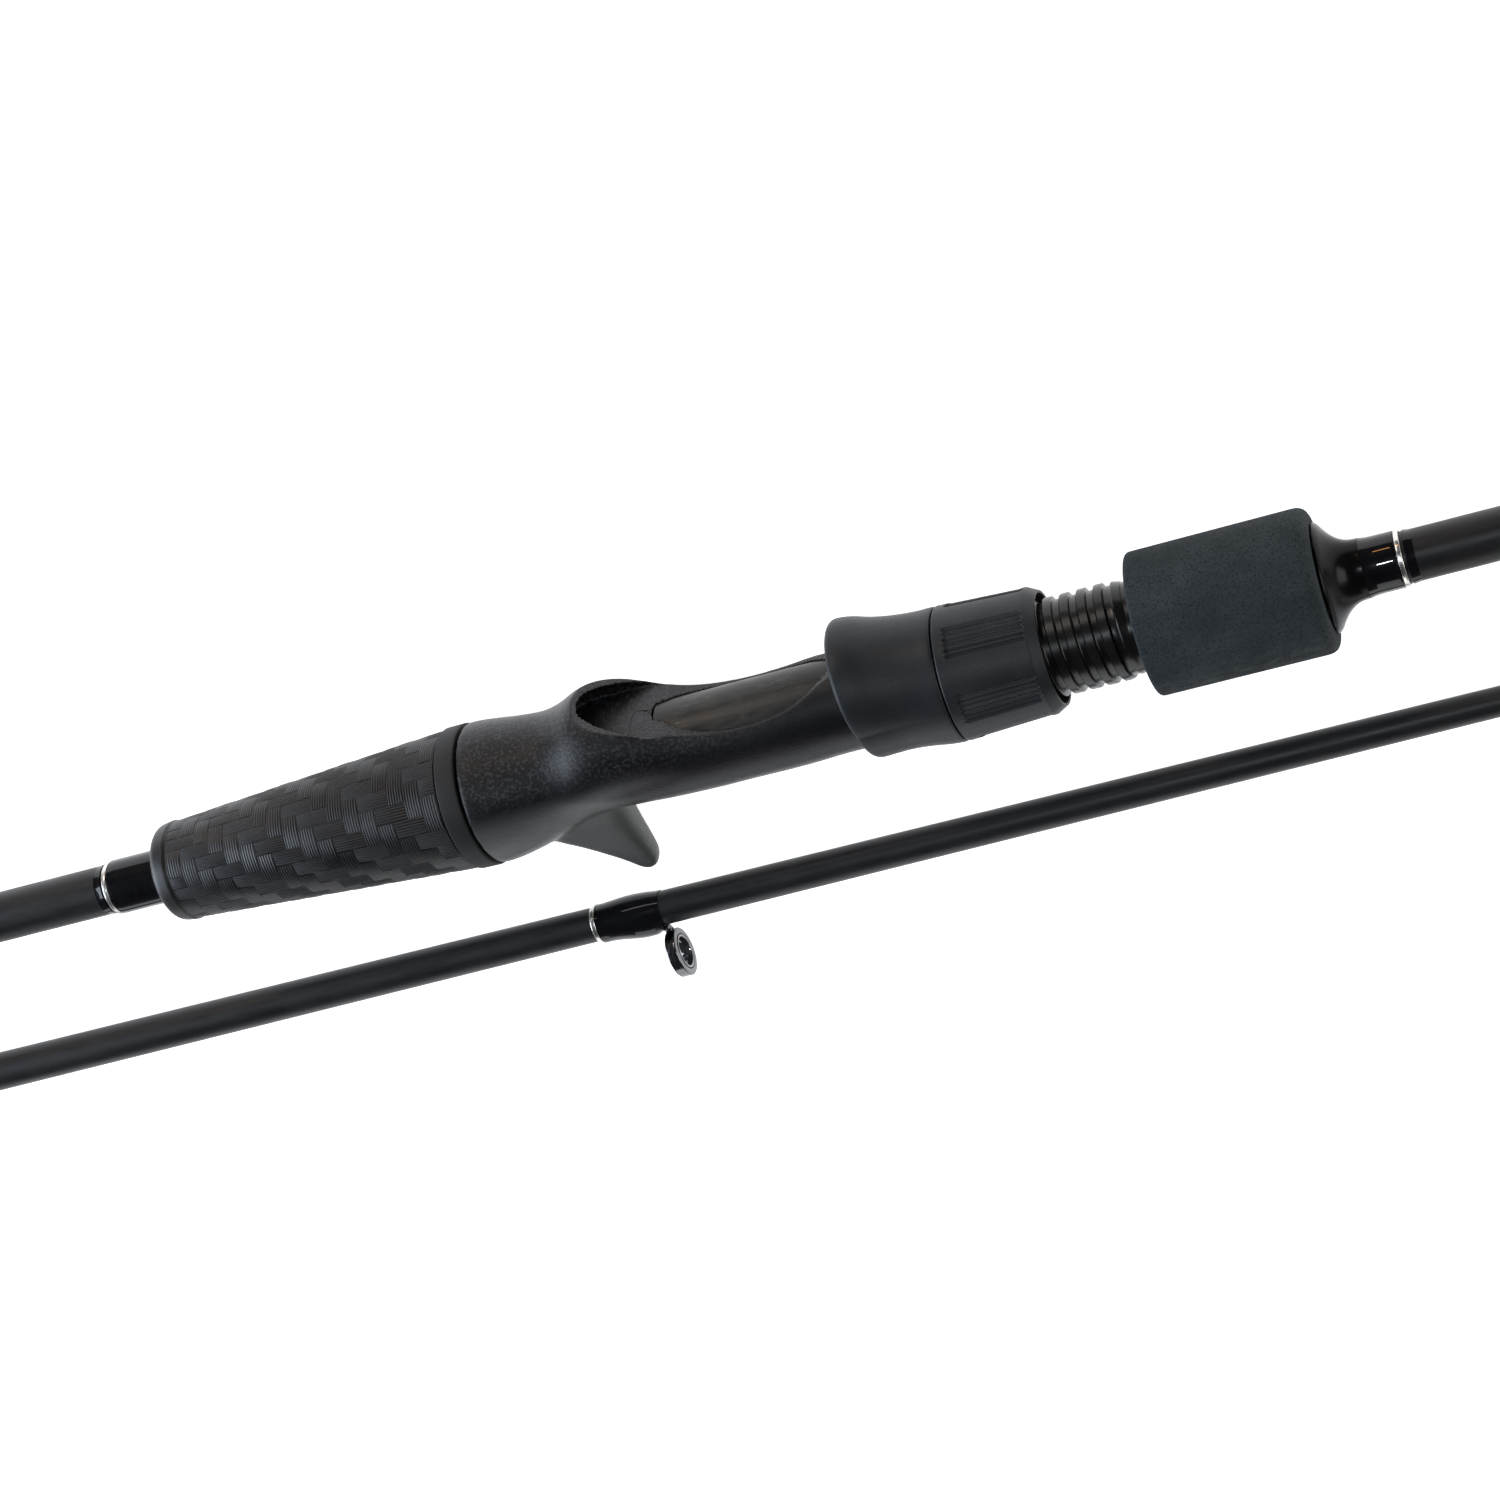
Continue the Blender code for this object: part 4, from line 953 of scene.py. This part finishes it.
def fore_end():
    """The foam foregrip, its glossy flared check and the wrap in front of it."""
    inner = butt_radius(FORE_REAR) + GAP
    recess, step = THREAD_RADIUS + GAP, SEAT_FRONT + GAP
    outline = [(FORE_REAR, FORE_RADIUS, 0.9), (FORE_FRONT, FORE_RADIUS, 2.5), (FORE_FRONT, inner, 0.2),
               (step, inner), (step, recess), (FORE_REAR, recess, 0.4)]
    turned_piece("foregrip", BUTT, "foam", outline, steps=8)
    start = FORE_FRONT + GAP
    flare = [(start + 7 * t, 5.5 + 5.6 * (1 - t) ** 2.6, 0) for t in steps_between(0.12, 1, 24)]
    outline = [(start, inner, 0.1), (start, 10.4, 0.35), *flare, (start + 7, inner, 0.05)]
    turned_piece("winding_check", BUTT, "gloss", outline, look=CHECK_LOOK)
    wrap("front_wrap", BUTT, butt_radius, start + 7.04, 123.8, 0.5, 5.5)
    varnish_tail("front_varnish_tail", BUTT, "butt_section", butt_radius, 125.4, 1.6)


def butt_end():
    """The short foam grip at the butt with its winding check and rubber cap."""
    inner = butt_radius(BUTT_END) + GAP
    front = BUTT_GRIP_FRONT
    outline = [(BUTT_GRIP_REAR, inner, 0.2), (BUTT_GRIP_REAR, 13.2, 0.5), (BUTT_GRIP_REAR + 12, 12.4, 6),
               (front - 14, 10.6, 8), (front, 10.2, 1.8), (front, inner, 0.2)]
    turned_piece("butt_grip", BUTT, "foam", outline, steps=8)
    base = inner - 0.05
    flare = [(front + 1.4 + 5.1 * t, 5.9 + 2.5 * (1 - t) ** 2, 0) for t in steps_between(0, 1, 12)]
    check = [(front + GAP, base, 0.1), (front + GAP, 8.4, 0.3), *flare, (front + 6.5, base, 0.05)]
    turned_piece("butt_check", BUTT, "gloss", check, look=CHECK_LOOK)
    wrap("butt_grip_wrap", BUTT, butt_radius, front + 6.54, front + 15, 0.5, 5.9)
    rim, cup = BUTT_GRIP_REAR - GAP, BUTT_END - GAP
    outline = [(BUTT_CAP_END + 0.7, 0.01, 0), (BUTT_CAP_END + 0.6, 8.2, 1.0), (BUTT_CAP_END, 9.6, 0.8),
               (BUTT_CAP_END, 12.6, 1.6), (BUTT_CAP_END + 2, 13.9, 0.8), (rim, BUTT_CAP_RADIUS, 0.4),
               (rim, inner, 0.2), (cup, inner, 0.1), (cup, 0.01, 0)]
    turned_piece("butt_cap", BUTT, "rubber", outline)


# Guides


def bar(name, path, half_along, half_across, sides=12, steps=14):
    """A smooth tapering bar through (x, y, z, scale) points of a path."""
    table = [(k, *p) for k, p in enumerate(path)]
    centres = [between(table, t) for t in steps_between(0, len(path) - 1, steps)]
    rings = []
    for k, (x, y, z, scale) in enumerate(centres):
        before, after = centres[max(k - 1, 0)], centres[min(k + 1, steps)]
        run = Vector((after[0] - before[0], after[1] - before[1], after[2] - before[2])).normalized()
        side = run.cross(Vector((0, 1, 0))).normalized()
        out = side.cross(run)
        ring = []
        for n in range(sides):
            offset = side * cos(tau * n / sides) * half_along + out * sin(tau * n / sides) * half_across
            ring.append(tuple(Vector((x, y, z)) + offset * scale))
        rings.append(ring)
    return solid(name, *lofted(rings, False))


def leaning(x, height, angle):
    return Matrix.Translation((x * MM, 0, height * MM)) @ Matrix.Rotation(angle, 4, "Y")


def guide_ring(name, section, place, bore, edge, back, face, fillet, crown):
    """The polished ring that the line runs on: a rounded bead."""
    bead = [(-face, edge, fillet), (0, bore, crown), (face, edge, fillet), (face, back, fillet),
            (-face, back, fillet)]
    ring = turned(f"{name}_ring_fine", bead, GUIDE_SIDES)
    ring.data.transform(place)
    settle(ring, section, "ceramic", f"{name}_ring")


def guide(name, section, x, surface, bore, rim, height, foot, double=False, deep=0.9, lean=radians(10)):
    """A line guide: a polished ring in a bent frame, whose foot lies on the blank."""
    inner = bore + 0.7 + GAP * 0.4
    middle = (rim + inner) / 2
    outline = [(-deep, rim - 0.2, 0.3), (deep, rim, 0.3), (deep, inner, 0.2), (-deep, inner, 0.2)]
    hoop = turned(f"{name}_frame_fine", outline, GUIDE_SIDES)
    place = leaning(x, height, lean)
    hoop.data.transform(place)
    seat = surface + GAP
    for end in (-1, 1) if double else (-1,):
        root = x + end * LEG_ROOT
        for side in (-1, 1):
            joint = (x + end * 0.5, side * middle * cos(LEG_ANGLE), height - middle * sin(LEG_ANGLE))
            waist = seat + (joint[2] - seat) * 0.45
            path = [(x + end * 2.6, side * 0.35, seat + 0.25, 0.6),
                    (root + end * 0.5, side * 0.55, seat + 0.5, 0.95),
                    (root, side * 1.2, waist, 1.0), (*joint, 0.85)]
            combine(hoop, bar("leg", path, 0.62, 0.5), "UNION")
        near, far = x + 0.5 * end, x + foot * end
        plate = prism("plate", [(near, seat), (far, seat), (far, seat + 0.2), (near, seat + 0.6)], 1.1)
        combine(hoop, plate, "UNION")
    softened(hoop, 0.11, 4)
    settle(hoop, section, "frame", f"{name}_frame")
    guide_ring(name, section, place, bore, bore + 0.18, bore + 0.66, deep + 0.05, 0.2, 0.9)


def guide_wrap(node, section, radius_at, x, end, foot, ring):
    """The varnished wrap over a guide's foot: thick over the foot, thin round the back."""
    near, far = x + WRAP_NEAR * end, x + (foot + WRAP_BEYOND) * end
    rings = []
    for t in steps_between(0, 1, 40):
        station = near + (far - near) * t
        surface = radius_at(station)
        lip = eased(t / 0.22) ** 0.6
        close = eased((1 - t) / 0.05) ** 0.5 if t > 0.95 and not ring else 1.0
        back = 0.16 + 0.36 * eased(t / 0.45) * eased((1 - t) / 0.5)
        over = 1.4 - 0.95 * eased((t - 0.3) / 0.62)

        def radius(turn):
            height = (back + (over - back) * max(sin(turn), 0) ** 1.6) * lip * close
            return surface + BOND + 0.03 + height

        rings.append(uneven_circle(station, SLIM, radius))
    rings += [circle(x, radius_at(x) + BOND, SLIM) for x in (far, near)]
    settle(solid(f"{node}_fine", *lofted(rings, True)), section, "gloss", node)
    if ring:
        edge = far + (TRIM_WIDTH / 2 + BOND) * end
        trim_ring(node.replace("wrap", "trim_ring"), section, radius_at, edge, 0.5)


def tip_top():
    """The last ring of the rod, on a tube that caps the tip."""
    x, rise = TIP_END, 5.4
    tube = [(x - 9, 1.6, 0.15), (x + 1.2, 1.6, 0.3), (x + 1.2, 1.15, 0.1), (x - 9, 1.15, 0.1)]
    made = turned("tip_top_frame_fine", tube, 48)
    lean = leaning(x + 3, rise, radians(25))
    outline = [(-0.8, 3.6, 0.25), (0.8, 3.6, 0.25), (0.8, 2.9, 0.2), (-0.8, 2.9, 0.2)]
    hoop = turned("hoop", outline, GUIDE_SIDES)
    hoop.data.transform(lean)
    combine(made, hoop, "UNION")
    for side in (-1, 1):
        path = [(x - 6.0, 0, 1.35, 0.8), (x - 2.5, side * 0.3, 1.7, 1.0), (x + 1.2, side * 1.0, 2.6, 1.0)]
        combine(made, bar("strut", path, 0.5, 0.5), "UNION")
    softened(made, 0.11, 4)
    settle(made, TIP, "frame", "tip_top_frame")
    guide_ring("tip_top", TIP, lean, 2.2, 2.35, 2.82, 0.75, 0.15, 0.7)


# Sections


def butt_section():
    blank("butt_blank", BUTT, butt_radius, BUTT_END, BUTT_FRONT, 1.2)
    butt_end()
    rear_grip()
    reel_seat()
    fore_end()
    guide("stripper_guide", BUTT, STRIPPER_X, butt_radius(STRIPPER_X), 4.5, 6.4, 14.5, 12.5, True)
    guide_wrap("stripper_guide_rear_wrap", BUTT, butt_radius, STRIPPER_X, -1, 12.5, True)
    guide_wrap("stripper_guide_front_wrap", BUTT, butt_radius, STRIPPER_X, 1, 12.5, False)
    guide("belly_guide", BUTT, BELLY_X, butt_radius(BELLY_X), 3.6, 5.4, 12, 12)
    guide_wrap("belly_guide_wrap", BUTT, butt_radius, BELLY_X, -1, 12, True)
    wrap("butt_ferrule_wrap", BUTT, butt_radius, BUTT_FRONT - 50, BUTT_FRONT - 61, 0.5)


def tip_section():
    blank("tip_blank", TIP, tip_radius, TIP_REAR, TIP_END, 0.65, (FERRULE_BORE, FERRULE_DEPTH))
    front = TIP_REAR + SLEEVE_LENGTH
    inner = tip_radius(TIP_REAR) + BOND
    rear = TIP_REAR + 0.4
    sleeve = [(rear, SLEEVE_RADIUS, 0.4), (front - 6, SLEEVE_RADIUS - 0.2, 3), (front, inner + 0.3, 0.1),
              (front, inner, 0), (rear, inner, 0)]
    turned_piece("ferrule_sleeve", TIP, "carbon", sleeve, SLIM)
    wrap("ferrule_wrap", TIP, tip_radius, front + 0.6, front + 11, 0.5)
    for number, (back, bore, rim, height, foot) in enumerate(TIP_GUIDES, 1):
        x = TIP_END - back
        guide(f"guide_{number}", TIP, x, tip_radius(x), bore * TIP_BORE_SHARE, rim, height, foot,
              deep=1.15, lean=radians(6))
        guide_wrap(f"guide_{number}_wrap", TIP, tip_radius, x, -1, foot, number < 5)
    tip_top()


# Stage


def stage():
    """A pale floor that glows a little, a few softboxes, and small lamps that make the varnish glint."""
    reach = TABLE_REACH
    points = [(-reach, -reach, 0), (reach, -reach, 0), (reach, reach, 0), (-reach, reach, 0)]
    ground = solid("ground", points, [(0, 1, 2, 3)])
    ground.location.z = -TABLE_DROP * MM
    look = Look("ground", (0.9, 0.9, 0.9), 0.7, specular=0.2)
    look.tint(look.noise(300, 300, 2.0), (0.3, 0.885), (0.7, 0.915))
    look.set("Emission Color", (1.0, 1.0, 1.0, 1.0))
    look.set("Emission Strength", TABLE_GLOW)
    ground.data.materials.append(look.made)
    world = bpy.data.worlds.new("studio")
    world.use_nodes = True
    sky = world.node_tree.nodes["Background"]
    sky.inputs["Color"].default_value = (0.93, 0.96, 1.0, 1.0)
    sky.inputs["Strength"].default_value = 0.06
    bpy.context.scene.world = world
    target = BUTT.translation
    lamp("window", target + Vector((-1.5, 0.1, 0.62)), target, 1.1, 34, (0.78, 0.87, 1.0))
    lamp("side", target + Vector((1.5, 0.05, 0.7)), target, 0.9, 13, (1.0, 0.99, 0.97))
    lamp("front", target + Vector((-0.3, -1.5, 0.2)), target, 0.8, 4, (0.98, 1.0, 1.0))
    lamp("behind", target + Vector((-0.45, 1.3, 0.72)), target, 0.55, 4, (1.0, 1.0, 0.98))
    check = BUTT @ Vector((0.115, 0, 0))
    lamp("key", round_the_rod(15, 144.6), check, 0.05, 1.8, (0.86, 0.94, 1.0), "DISK")
    lamp("warm", round_the_rod(-419, 94), target, 0.09, 0.9, (1.0, 0.58, 0.32), "DISK")
    lamp("glint", round_the_rod(30, 90), target, 0.035, 0.16, (1.0, 0.42, 0.12))


def round_the_rod(along, angle):
    """A lamp's place round the butt section's axis, at an angle from its y axis towards z."""
    turn = radians(angle)
    return BUTT @ (Vector((along, LAMP_DISTANCE * cos(turn), LAMP_DISTANCE * sin(turn))) * MM)


def lamp(name, place, target, size, power, colour, shape="SQUARE"):
    light = bpy.data.lights.new(name, "AREA")
    light.shape = shape
    light.size = size
    light.energy = power
    light.color = colour
    made = bpy.data.objects.new(name, light)
    made.location = place
    made.rotation_euler = (place - target).to_track_quat("Z", "Y").to_euler()
    bpy.context.scene.collection.objects.link(made)


def camera():
    """Looks at the reel seat from above, at the photograph's angle."""
    back = Vector((cos(VIEW_ELEVATION) * cos(VIEW_AZIMUTH), cos(VIEW_ELEVATION) * sin(VIEW_AZIMUTH),
                   sin(VIEW_ELEVATION)))
    level = (-back).cross(Vector((0, 0, 1))).normalized()
    rise = back.cross(level)
    right = level * cos(VIEW_ROLL) - rise * sin(VIEW_ROLL)
    up = rise * cos(VIEW_ROLL) + level * sin(VIEW_ROLL)
    target = BUTT.translation + Vector((*VIEW_TARGET, 0)) * MM
    made = bpy.data.objects.new("camera", bpy.data.cameras.new("camera"))
    made.data.lens = LENS
    made.data.sensor_width = SENSOR
    made.data.clip_start = 0.01
    made.matrix_world = Matrix.Translation(target + back * VIEW_DISTANCE * MM) @ Matrix(
        (right, up, back)).transposed().to_4x4()
    bpy.context.scene.collection.objects.link(made)
    bpy.context.scene.camera = made


camera()
stage()
butt_section()
sliding_hood()
lock_nut()
tip_section()
for name, node in frame["nodes"].items():
    node.data.materials.clear()
    slot = next(part["material_slot"] for part in frame["record"]["subparts"] if part["node"] == name)
    node.data.materials.append(LOOKS[slot])

view = bpy.context.scene.view_settings
view.view_transform = "Standard"
view.look = "None"
view.exposure = 0.0
